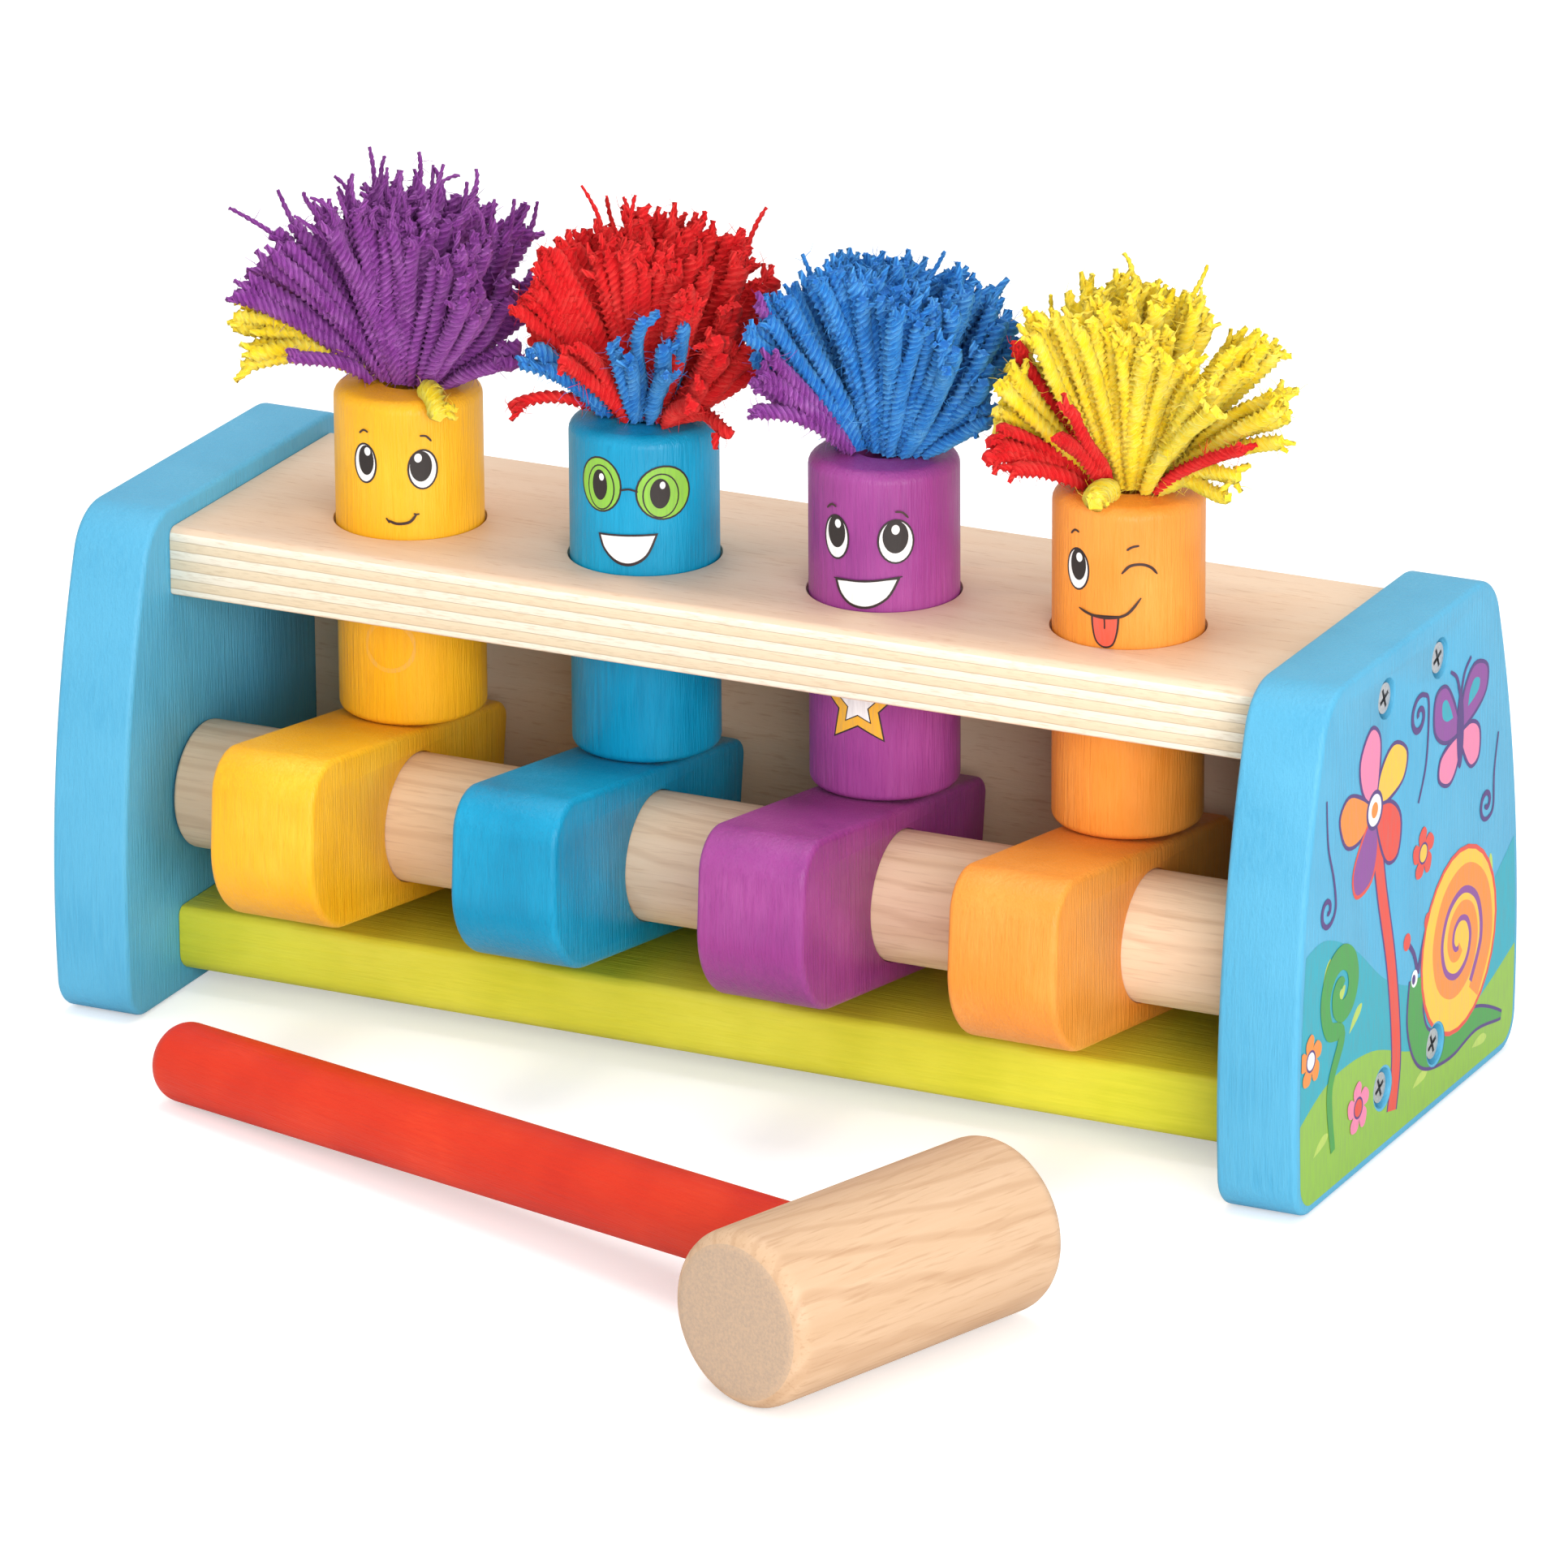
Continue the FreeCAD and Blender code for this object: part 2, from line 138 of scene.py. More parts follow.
def roundedCorners(corners, steps=10):
    # corners: (x, y, radius), counter-clockwise; gives points with outward directions
    outline = []
    count = len(corners)
    for i, (x, y, radius) in enumerate(corners):
        here = Vector((x, y))
        before = (Vector(corners[i - 1][:2]) - here).normalized()
        after = (Vector(corners[(i + 1) % count][:2]) - here).normalized()
        middle = (before + after).normalized()
        half = before.angle(after) / 2
        centre = here + middle * (radius / math.sin(half))
        sweep = 180 - 2 * math.degrees(half)
        first = Vector((before.y, -before.x))  # outward normal of the side that ends here
        if first.dot(middle) > 0:
            first = -first
        start = math.degrees(math.atan2(first.y, first.x))
        outline += arcPoints(centre, radius, start, start + sweep, steps)
    return outline


def roundedPrism(name, outline, low, high, edge, place, material, steps=4):
    # outline pulled from low to high, all its edges rounded with the radius edge
    points, faces = [], []
    rings = []
    for i in range(steps + 1):
        turn = math.pi / 2 * i / steps
        rings.append((edge * (1 - math.sin(turn)), low + edge * (1 - math.cos(turn))))
    rings += [(inset, low + high - depth) for inset, depth in reversed(rings)]
    for inset, depth in rings:
        points += [place(p.x - way.x * inset, p.y - way.y * inset, depth) for p, way in outline]
    count = len(outline)
    for ring in range(len(rings) - 1):
        for i in range(count):
            j = (i + 1) % count
            low, high = ring * count, (ring + 1) * count
            faces.append((low + i, low + j, high + j, high + i))
    faces.append(tuple(range(count))[::-1])
    faces.append(tuple(range((len(rings) - 1) * count, len(rings) * count)))
    return makeMesh(name, points, faces, material)


def turnedPiece(name, profile, place, material, around=96):
    # profile: (radius, height) from the foot's middle to the top's middle
    points, faces = [], []
    rows = []
    for radius, height in profile:
        if radius < 1e-6:
            rows.append([len(points)])
            points.append(place(0, 0, height))
        else:
            rows.append(list(range(len(points), len(points) + around)))
            turns = [2 * math.pi * i / around for i in range(around)]
            points += [place(radius * math.cos(turn), radius * math.sin(turn), height) for turn in turns]
    for lower, upper in zip(rows, rows[1:]):
        for i in range(around):
            j = (i + 1) % around
            face = [lower[i % len(lower)], lower[j % len(lower)],
                    upper[j % len(upper)], upper[i % len(upper)]]
            faces.append(tuple(dict.fromkeys(face)))
    return makeMesh(name, points, [f for f in faces if len(f) > 2], material)


def cutAway(piece, cutters, edge):
    # the cutters leave their shape, then the sharp rims that they made are broken
    for cutter in cutters:
        cut = piece.modifiers.new("Cut", "BOOLEAN")
        cut.operation, cut.solver, cut.object = "DIFFERENCE", "EXACT", cutter
    bevel = piece.modifiers.new("BrokenRim", "BEVEL")
    bevel.width, bevel.segments, bevel.limit_method = edge / 1000, 2, "ANGLE"
    bevel.angle_limit = math.radians(60)
    keepShape(piece)
    for cutter in cutters:
        bpy.data.objects.remove(cutter)
    shadeByAngle(piece, 40)
    return piece


def dress(piece, body, slot, *nodes):
    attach(piece, body)
    if nodes:
        piece.name = f"{nodes[0]}_finished"
        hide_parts(*nodes)
    return piece


# finishes

def turnedPlace(tree, source, yaw):
    # a pattern's own frame, for a piece that lies turned on the floor; yaw in degrees
    if not yaw:
        return source
    return addNode(tree, "ShaderNodeVectorRotate", {"Vector": source, "Angle": math.radians(-yaw)},
                   rotation_type="Z_AXIS")


def paintedWood(name, colour, low, high, grain="Z", coarse=1.0, roughness=0.42, ridge=0.35, streak=0.5,
                yaw=0.0):
    # brushed acrylic paint on beech: the colour drifts a little, fine grain ridges show through the film
    material, tree, place = newMaterial(name)
    place = turnedPlace(tree, place, yaw)
    along = addNode(tree, "ShaderNodeMapping", {"Vector": place, "Scale": grainSqueeze[grain]})
    streaks = addNode(tree, "ShaderNodeTexNoise", {"Vector": along, "Scale": 900 / coarse,  # 1.1 mm apart
                                                  "Detail": 3.0, "Roughness": 0.6})
    cloud = addNode(tree, "ShaderNodeTexNoise", {"Vector": place, "Scale": 45.0, "Detail": 2.0})  # 20 mm
    pores = addNode(tree, "ShaderNodeTexNoise", {"Vector": along, "Scale": 2600 / coarse,  # 0.4 mm
                                                "Detail": 2.0, "Roughness": 0.7})
    tone = layTint(tree, low, cloud, 0.3, 0.7, 1.0, high)
    tone = layTint(tree, tone, streaks, 0.38, 0.62, streak, colour)
    tone = layTint(tree, tone, pores, 0.54, 0.68, streak * 0.55, low)
    gloss = addNode(tree, "ShaderNodeMath", {0: streaks, 1: 0.2, 2: roughness - 0.1},
                    operation="MULTIPLY_ADD")
    height = addNode(tree, "ShaderNodeMath", {0: pores, 1: 0.6, 2: streaks}, operation="MULTIPLY_ADD")
    finishSurface(tree, height, ridge, 0.0005, {"Base Color": tone, "Roughness": gloss,
                                                "IOR": 1.49, "Specular IOR Level": 0.3})  # acrylic binder
    return material


def bareWood(name, light, dark, fleck, endGrain, rings=(0.0, 0.012, -0.02), ringShow=0.3, yaw=0.0):
    # sanded beech under a thin clear coat: growth rings run out along X, short flecks, greyer end grain
    material, tree, place = newMaterial(name)
    place = turnedPlace(tree, place, yaw)
    leaning = addNode(tree, "ShaderNodeMapping", {"Vector": place, "Location": rings,
                                                 "Rotation": (0, 0.06, 0.09)})
    growth = addNode(tree, "ShaderNodeTexWave", {"Vector": leaning, "Scale": 62.0, "Distortion": 4.5,  # 5 mm
                                                "Detail": 2.0, "Detail Scale": 0.35},
                     "Fac", wave_type="RINGS", rings_direction="X")
    along = addNode(tree, "ShaderNodeMapping", {"Vector": place, "Scale": grainSqueeze["X"]})
    bands = addNode(tree, "ShaderNodeTexNoise", {"Vector": along, "Scale": 230.0,  # 4 mm
                                                "Detail": 4.0, "Roughness": 0.6})
    flecks = addNode(tree, "ShaderNodeTexNoise", {"Vector": along, "Scale": 1300.0,  # 0.8 mm
                                                 "Detail": 2.0, "Roughness": 0.6})
    pores = addNode(tree, "ShaderNodeTexNoise", {"Vector": place, "Scale": 1500.0,  # 0.7 mm
                                                "Detail": 3.0, "Roughness": 0.7})
    tone = layTint(tree, dark, bands, 0.32, 0.66, 1.0, light)
    tone = layTint(tree, tone, growth, 0.78, 0.98, ringShow, fleck)
    tone = layTint(tree, tone, flecks, 0.54, 0.68, 0.35, fleck)
    normal = turnedPlace(tree, addNode(tree, "ShaderNodeNewGeometry", out="True Normal"), yaw)
    facing = addNode(tree, "ShaderNodeSeparateXYZ", {"Vector": normal}, "X")
    facing = addNode(tree, "ShaderNodeMath", {0: facing}, operation="ABSOLUTE")
    endTone = layTint(tree, endGrain, pores, 0.35, 0.65, 0.55, light)
    tone = layTint(tree, tone, facing, 0.86, 0.97, 1.0, endTone)
    gloss = addNode(tree, "ShaderNodeMath", {0: flecks, 1: 0.2, 2: 0.45}, operation="MULTIPLY_ADD")
    height = addNode(tree, "ShaderNodeMath", {0: flecks, 1: 0.8, 2: bands}, operation="MULTIPLY_ADD")
    finishSurface(tree, height, 0.3, 0.0003, {"Base Color": tone, "Roughness": gloss, "IOR": 1.48})
    return material


plies = {"pair": 4.2, "start": 0.42,  # millimetres for two plies, and where in a pair the board's foot lies
         "bands": [(0.0, "#B59C80"), (0.03, "#EFE2CC"), (0.46, "#F4EAD6"), (0.49, "#B79D80"),
                   (0.53, "#E3CDAC"), (0.97, "#EAD7B8"), (1.0, "#B59C80")]}


def birchPlywood(name, face):
    # rotary cut birch veneer on the faces; sanded edges show the plies as light and grey-brown bands
    material, tree, place = newMaterial(name)
    along = addNode(tree, "ShaderNodeMapping", {"Vector": place, "Scale": (0.10, 1, 1)})
    figure = addNode(tree, "ShaderNodeTexNoise", {"Vector": along, "Scale": 120.0, "Detail": 5.0,  # 8 mm
                                                 "Roughness": 0.55, "Distortion": 0.8})
    cloud = addNode(tree, "ShaderNodeTexNoise", {"Vector": place, "Scale": 22.0, "Detail": 2.0})  # 45 mm
    flecks = addNode(tree, "ShaderNodeTexNoise", {"Vector": along, "Scale": 1500.0,  # 0.7 mm
                                                 "Detail": 2.0, "Roughness": 0.65})
    veneer = layTint(tree, "#E6C6A6", figure, 0.3, 0.7, 1.0, "#EED4B8")
    veneer = layTint(tree, veneer, cloud, 0.0, 1.0, 0.5, "#EACBB0")
    veneer = layTint(tree, veneer, flecks, 0.58, 0.70, 0.40, "#C99C74")

    wander = addNode(tree, "ShaderNodeTexNoise", {"Vector": along, "Scale": 160.0, "Detail": 2.0})
    level = addNode(tree, "ShaderNodeSeparateXYZ", {"Vector": place}, face)
    level = addNode(tree, "ShaderNodeMath", {0: wander, 1: 0.0007, 2: level}, operation="MULTIPLY_ADD")
    level = addNode(tree, "ShaderNodeMath", {0: level, 1: 1000 / plies["pair"], 2: plies["start"]},
                    operation="MULTIPLY_ADD")
    level = addNode(tree, "ShaderNodeMath", {0: level}, operation="FRACT")
    edge = plies["bands"][0][1]
    for (low, _), (high, colour) in zip(plies["bands"], plies["bands"][1:]):
        edge = layTint(tree, edge, level, low, high, 1.0, colour)
    hairs = addNode(tree, "ShaderNodeMapping", {"Vector": place, "Scale": (0.12, 0.12, 1)})
    strokes = addNode(tree, "ShaderNodeTexNoise", {"Vector": hairs, "Scale": 2600.0,  # 0.4 mm
                                                  "Detail": 2.0, "Roughness": 0.6})
    edge = layTint(tree, edge, strokes, 0.5, 0.72, 0.4, "#C4AB88")

    normal = addNode(tree, "ShaderNodeNewGeometry", out="True Normal")
    flat = addNode(tree, "ShaderNodeSeparateXYZ", {"Vector": normal}, face)
    flat = addNode(tree, "ShaderNodeMath", {0: flat}, operation="ABSOLUTE")
    tone = layTint(tree, edge, flat, 0.45, 0.60, 1.0, veneer)
    gloss = addNode(tree, "ShaderNodeMath", {0: flecks, 1: 0.2, 2: 0.42}, operation="MULTIPLY_ADD")
    height = addNode(tree, "ShaderNodeMath", {0: flecks, 1: strokes}, operation="ADD")
    finishSurface(tree, height, 0.18, 0.0003, {"Base Color": tone, "Roughness": gloss, "IOR": 1.48})
    return material


def zincSteel():
    # bright zinc plate on steel: nearly even grey, faint blue, tiny scuffs from the driver
    material, tree, place = newMaterial("zincPlatedSteel")
    scuff = addNode(tree, "ShaderNodeTexNoise", {"Vector": place, "Scale": 1800.0, "Detail": 3.0})  # 0.6 mm
    tone = layTint(tree, "#B4B7BB", scuff, 0.3, 0.7, 1.0, "#D2D4D6")
    gloss = addNode(tree, "ShaderNodeMath", {0: scuff, 1: 0.25, 2: 0.2}, operation="MULTIPLY_ADD")
    finishSurface(tree, scuff, 0.1, 0.0001, {"Base Color": tone, "Roughness": gloss, "Metallic": 1.0})
    return material


def acrylicYarn(name, dark, middle, light, grooveShadeShow=0.75):
    # plied acrylic yarn: matt, plies of fine fibres whose lightest tone is partly a painted highlight,
    # painted shade darkening the grooves between the plies, soft sheen of loose fibres
    material, tree, place = newMaterial(name)
    yarn = addNode(tree, "ShaderNodeUVMap", uv_map="yarn")
    fibre = addNode(tree, "ShaderNodeMapping", {"Vector": yarn, "Scale": (9.0, 1.4, 1),
                                               "Rotation": (0, 0, 0.5)})
    threads = addNode(tree, "ShaderNodeTexNoise", {"Vector": fibre, "Scale": 6.0, "Detail": 3.0,
                                                  "Roughness": 0.65})
    clump = addNode(tree, "ShaderNodeTexNoise", {"Vector": place, "Scale": 220.0, "Detail": 2.0})  # 4 mm
    clump = addNode(tree, "ShaderNodeMath", {0: clump, 1: 0.3}, operation="MULTIPLY")
    mask = addNode(tree, "ShaderNodeMath", {0: threads, 1: 0.7, 2: clump}, operation="MULTIPLY_ADD")
    shade = addNode(tree, "ShaderNodeAttribute", {}, "Fac", attribute_name="shade")
    groove = addNode(tree, "ShaderNodeAttribute", {}, "Fac", attribute_name="groove")
    # fibre mottle: the yarn's own uneven fibres, and its lightest tone also stands in as a painted highlight
    # on the fibres
    tone = layTint(tree, dark, mask, 0.30, 0.47, 1.0, middle)
    tone = layTint(tree, tone, mask, 0.47, 0.64, 1.0, light)
    tone = layTint(tree, tone, shade, 0.0, 1.0, 0.16, dark)
    # painted shade: the grooves between the plies are darkened towards the dark tone
    tone = layTint(tree, tone, groove, 0.0, 1.0, grooveShadeShow, dark)
    finishSurface(tree, threads, 0.4, 0.0004, {
        "Base Color": tone, "Roughness": 0.9, "IOR": 1.5, "Specular IOR Level": 0.2,
        "Sheen Weight": 0.4, "Sheen Roughness": 0.45, "Sheen Tint": light})
    return material


def printInk(name, colour):
    # screen printed ink on the paint: flat colour, slightly broken where the wood's ridges stand up
    material, tree, place = newMaterial(name)
    along = addNode(tree, "ShaderNodeMapping", {"Vector": place, "Scale": (1, 1, 0.1)})
    streaks = addNode(tree, "ShaderNodeTexNoise", {"Vector": along, "Scale": 1800.0, "Detail": 3.0})  # 0.6 mm
    thin = addNode(tree, "ShaderNodeHueSaturation", {"Color": colour, "Value": 0.86, "Saturation": 0.95})
    tone = layTint(tree, thin, streaks, 0.35, 0.6, 1.0, colour)
    gloss = addNode(tree, "ShaderNodeMath", {0: streaks, 1: 0.15, 2: 0.37}, operation="MULTIPLY_ADD")
    finishSurface(tree, streaks, 0.15, 0.0002, {"Base Color": tone, "Roughness": gloss})
    return material


skyPaint = paintedWood("skyBlueAcrylicPaint", "#58ACD0", "#4CA2C8", "#5CB0D4", coarse=0.8, ridge=0.45,
                       streak=0.8)
limePaint = paintedWood("limeAcrylicPaint", "#E2DC3A", "#D2D030", "#E8E248", grain="X", coarse=1.3)
ply = birchPlywood("birchPlywood", "Z")
rearPly = birchPlywood("birchPlywoodUpright", "Y")
beech = bareWood("sandedBeech", "#F5D8B8", "#EBCBA8", "#CCA37E", "#D8B89C")
headWood = bareWood("malletHeadBeech", "#D3B08E", "#CBA682", "#AC805A", "#B39A84", (-0.04, 0.115, -0.035),
                    0.28, malletYaw)
zinc = zincSteel()
toyTones = {"yellow": ("#F6B41C", "#EDA412", "#FCC134"), "blue": ("#0492BC", "#0480A8", "#18A6D2"),
            "purple": ("#9C3F8C", "#86327C", "#AA509A"), "orange": ("#F2973A", "#E88828", "#FAA44A")}
toyPaint = {name: paintedWood(f"{name}ToyLacquer", *tones, roughness=0.36, ridge=0.5, streak=0.7)
            for name, tones in toyTones.items()}
toyPaint["red"] = paintedWood("redToyLacquer", "#D62C0C", "#C8260A", "#DE3914", grain="Y", roughness=0.5,
                              ridge=0.4, yaw=malletYaw)
yarnTones = {"purple": ("#581C62", "#A24AAE", "#C884D0"), "red": ("#C20E18", "#F8262A", "#FF5A50"),
             "blue": ("#1450A6", "#3294E6", "#7CC8FA"), "yellow": ("#FFCE10", "#FFE62A", "#FFF48A", 0.35)}
yarnFinish = {name: acrylicYarn(f"{name}AcrylicYarn", *tones) for name, tones in yarnTones.items()}
print("finishes ready")


# camera, floor and light

view = {"azimuth": 0.4549, "elevation": 0.3443, "roll": -0.0062,  # radians, fitted to the picture
        "across": 3.5501, "up": 53.0978, "away": 2447.497, "offset": (0, 61.9, 1.3), "lens": 263.43}


def setCamera():
    cosA, sinA = math.cos(view["azimuth"]), math.sin(view["azimuth"])
    cosE, sinE = math.cos(view["elevation"]), math.sin(view["elevation"])
    back = Vector((sinA * cosE, -cosA * cosE, sinE))
    side = Vector((cosA, sinA, 0))
    above = back.cross(side)
    right = math.cos(view["roll"]) * side + math.sin(view["roll"]) * above
    top = -math.sin(view["roll"]) * side + math.cos(view["roll"]) * above
    place = right * view["across"] + top * view["up"] + back * view["away"] + Vector(view["offset"])
    data = bpy.data.cameras.new("photoCamera")
    data.lens, data.sensor_width, data.clip_start, data.clip_end = view["lens"], 36.0, 0.1, 20.0
    camera = bpy.data.objects.new("photoCamera", data)
    bpy.context.scene.collection.objects.link(camera)
    camera.matrix_world = Matrix.Translation(place / 1000) @ Matrix((right, top, back)).transposed().to_4x4()
    bpy.context.scene.camera = camera


studio = {"room": 0.71, "floorGlow": 0.42, "floorHalf": 4000, "floorDrop": 0.2, "aim": (0, 0, 0.06),
          "lamps": {  # place and size in metres, watts
              "keyFromRight": ((1.25, -1.38, 0.48), 1.1, 29.0),
              "fillFromLeft": ((-1.1, -1.2, 0.8), 1.0, 3.0),
              "topSoft": ((0.0, 0.1, 1.7), 1.0, 11.0)}}


def makeRoom():
    # the room lights the toy softly and shows itself white
    world = bpy.data.worlds.new("paleRoom")
    bpy.context.scene.world = world
    world.use_nodes = True
    tree = world.node_tree
    tree.nodes.clear()
    rays = addNode(tree, "ShaderNodeLightPath").node.outputs
    seen = addNode(tree, "ShaderNodeMath", {0: rays["Is Camera Ray"], 1: rays["Is Transmission Ray"]},
                   operation="MAXIMUM")
    soft = addNode(tree, "ShaderNodeBackground", {"Color": "#FFFFFF", "Strength": studio["room"]})
    white = addNode(tree, "ShaderNodeBackground", {"Color": "#FFFFFF", "Strength": 1.0})
    room = addNode(tree, "ShaderNodeMixShader", {0: seen, 1: soft, 2: white})
    addNode(tree, "ShaderNodeOutputWorld", {"Surface": room})


def makeFloor():
    # matt white paper with a faint mottle, lifted to white for the eye but keeping the toy's shadow
    floorPaper, tree, place = newMaterial("matWhitePaper")
    mottle = addNode(tree, "ShaderNodeTexNoise", {"Vector": place, "Scale": 30.0, "Detail": 2.0})  # 33 mm
    tone = layTint(tree, "#E9E9E9", mottle, 0.3, 0.7, 1.0, "#ECECEC")
    paper = addNode(tree, "ShaderNodeBsdfPrincipled", {"Base Color": tone, "Roughness": 0.9,
                                                      "Specular IOR Level": 0.1})
    seen = addNode(tree, "ShaderNodeLightPath", out="Is Camera Ray")
    share = addNode(tree, "ShaderNodeMath", {0: seen, 1: studio["floorGlow"]}, operation="MULTIPLY")
    glow = addNode(tree, "ShaderNodeEmission", {"Color": "#FFFFFF", "Strength": share})
    both = addNode(tree, "ShaderNodeAddShader", {0: paper, 1: glow})
    addNode(tree, "ShaderNodeOutputMaterial", {"Surface": both})
    half, level = studio["floorHalf"], -studio["floorDrop"]
    corners = [(-half, -half, level), (half, -half, level), (half, half, level), (-half, half, level)]
    makeMesh("studioFloor", corners, [(0, 1, 2, 3)], floorPaper)


def makeLamps():
    for name, (place, size, power) in studio["lamps"].items():
        data = bpy.data.lights.new(name, "AREA")
        data.size, data.energy = size, power
        lamp = bpy.data.objects.new(name, data)
        bpy.context.scene.collection.objects.link(lamp)
        lamp.location = place
        away = Vector(studio["aim"]) - Vector(place)
        lamp.rotation_euler = away.to_track_quat("-Z", "Y").to_euler()


bpy.context.scene.view_settings.view_transform = "Standard"
setCamera()
makeRoom()
makeFloor()
makeLamps()
print("camera and light ready")

# end plates

plate = {"thick": 18.0, "height": 110.0, "halfBase": 58.0, "halfTop": 43.5, "bow": 245.0,
         "cornerTop": 12.0, "cornerBase": 8.0, "edge": 1.3, "seatRadius": 4.3, "seatDepth": 4.0,
         "screwAcross": 14.0, "screwHeights": (100.3, 14.8), "tenon": 8.05, "tenonDepth": 10.5}
axle = {"y": 45.4, "z": 44.3, "radius": 14.0, "half": 126.7, "tenon": 8.0, "tenonLength": 10.0}


def plateOutline(inset=0.0):
    # bowed sides meet the straight top and foot in round corners; inset shrinks it evenly
    base, top = Vector((plate["halfBase"], 0)), Vector((plate["halfTop"], plate["height"]))
    chord = top - base
    outward = Vector((chord.y, -chord.x)).normalized()
    bow = plate["bow"]
    centre = (base + top) / 2 - outward * math.sqrt(bow ** 2 - chord.length_squared / 4)
    foot, head = plate["cornerBase"], plate["cornerTop"]
    low = Vector((centre.x + math.sqrt((bow - foot) ** 2 - (foot - centre.y) ** 2), foot))
    high = Vector((centre.x + math.sqrt((bow - head) ** 2 - (plate["height"] - head - centre.y) ** 2),
                   plate["height"] - head))
    lowTurn = math.degrees(math.atan2(low.y - centre.y, low.x - centre.x))
    highTurn = math.degrees(math.atan2(high.y - centre.y, high.x - centre.x))
    right = arcPoints(low, foot - inset, -90, lowTurn, 12)
    right += arcPoints(centre, bow - inset, lowTurn, highTurn, 24)[1:-1]
    right += arcPoints(high, head - inset, highTurn, 90, 12)
    left = [(Vector((-p.x, p.y)), Vector((-way.x, way.y))) for p, way in reversed(right)]
    return right + left


def roundBar(name, radius, start, end, place, around=48):
    return turnedPiece(name, [(0, start), (radius, start), (radius, end), (0, end)], place, None, around)


def makePlate(name, side):
    def place(across, up, depth):
        return Vector((side * (bench["inside"] + depth), bench["back"] + across, up))

    piece = roundedPrism(name, plateOutline(), 0, plate["thick"], plate["edge"], place, skyPaint, steps=5)
    cutters = []
    for up in plate["screwHeights"]:
        for across in (plate["screwAcross"], -plate["screwAcross"]):
            cutters.append(roundBar("seat", plate["seatRadius"], plate["thick"] - plate["seatDepth"], 30,
                                    lambda a, b, d, x=across, z=up: place(x + a, z + b, d)))
    cutters.append(roundBar("tenonHole", plate["tenon"], -5, plate["tenonDepth"],
                            lambda a, b, d: place(axle["y"] - bench["back"] + a, axle["z"] + b, d)))
    cutAway(piece, cutters, 0.5)
    return dress(piece, "bench", "sky_blue_paint", name)


makePlate("left_end_plate", -1)
makePlate("right_end_plate", 1)
print("end plates ready")

# boards

board = {"front": 33.1, "back": 106.1, "thick": 15.0, "topFoot": 90.7, "baseFoot": 4.7, "rearFront": 97.1,
         "frontRound": 2.2, "noseRound": 4.5, "edge": 0.7, "rearEdge": 0.4, "hole": 16.4, "pegRow": 61.9,
         "pegPitch": 56.0}


def makeBoard(name, corners, material, slot, edge=0.5, holes=()):
    # corners: (y, z, radius) of the board's cross-section, seen along the bench
    piece = roundedPrism(name, roundedCorners(corners, 6), -bench["inside"], bench["inside"], edge,
                         lambda across, up, depth: Vector((depth, across, up)), material, steps=2)
    if holes:
        cutters = [roundBar("pegHole", board["hole"], 80, 120,
                            lambda a, b, d, x=x: Vector((x + a, board["pegRow"] + b, d)), 96) for x in holes]
        cutAway(piece, cutters, 0.6)
    return dress(piece, "bench", slot, name)


def slab(foot, frontLow, frontHigh):
    top, front, back, edge = foot + board["thick"], board["front"], board["back"], board["edge"]
    return [(front, foot, frontLow), (back, foot, edge), (back, top, edge), (front, top, frontHigh)]


pegPlaces = [(i - 1.5) * board["pegPitch"] for i in range(4)]
makeBoard("top_board", slab(board["topFoot"], board["edge"], board["frontRound"]), ply, "birch_plywood",
          holes=pegPlaces)
makeBoard("base_board", slab(board["baseFoot"], board["noseRound"], board["frontRound"]), limePaint,
          "lime_paint")
rearLow, rearHigh, rearEdge = board["baseFoot"] + board["thick"], board["topFoot"], board["rearEdge"]
makeBoard("rear_board", [(board["rearFront"], rearLow, rearEdge), (board["back"], rearLow, rearEdge),
                         (board["back"], rearHigh, rearEdge), (board["rearFront"], rearHigh, rearEdge)],
          rearPly, "birch_plywood", edge=0.3)
print("boards ready")

# dowel and rockers


def makeDowel():
    half, radius, tenon = axle["half"], axle["radius"], axle["tenon"]
    end = half + axle["tenonLength"]
    right = [(tenon, half)] + [(radius - 1 + math.sin(a), half - 1 + math.cos(a))
                               for a in (0.0, 0.52, 1.05, 1.57)]
    right = [(0, end), (tenon - 0.6, end), (tenon, end - 0.6)] + right
    profile = [(r, -h) for r, h in right] + list(reversed(right))
    piece = turnedPiece("axle_dowel", profile,
                        lambda a, b, h: Vector((h, axle["y"] + a, axle["z"] + b)), beech)
    return dress(piece, "bench", "beech", "axle_dowel")


rocker = {"width": 24.6, "pitch": 57.2, "shift": -1.5, "halfHeight": 19.0, "noseTop": 49.0, "noseLow": 46.5,
          "tail": 41.5, "noseTopRound": 9.0, "noseLowRound": 18.0, "tailRound": 4.0, "edge": 1.5,
          "bore": 14.1, "tilt": 8.5}


def makeRocker(colour, index):
    middle = (index - 1.5) * rocker["pitch"] + rocker["shift"]
    turn = math.radians(-rocker["tilt"])  # the rear arm rests low

    def place(across, up, depth):
        return Vector((middle + depth, axle["y"] + across * math.cos(turn) - up * math.sin(turn),
                       axle["z"] + across * math.sin(turn) + up * math.cos(turn)))

    tall = rocker["halfHeight"]
    outline = roundedCorners([(-rocker["noseLow"], -tall, rocker["noseLowRound"]),
                              (rocker["tail"], -tall, rocker["tailRound"]),
                              (rocker["tail"], tall, rocker["tailRound"]),
                              (-rocker["noseTop"], tall, rocker["noseTopRound"])], 14)
    wide = rocker["width"] / 2
    piece = roundedPrism(f"rocker_{colour}", outline, -wide, wide, rocker["edge"], place, toyPaint[colour],
                         steps=5)
    cutAway(piece, [roundBar("bore", rocker["bore"], -20, 20, place, 96)], 0.5)
    return dress(piece, f"{colour}_rocker", f"{colour}_paint", f"rocker_{colour}")


makeDowel()
for index, colour in enumerate(("yellow", "blue", "purple", "orange")):
    makeRocker(colour, index)
print("dowel and rockers ready")

# pegs

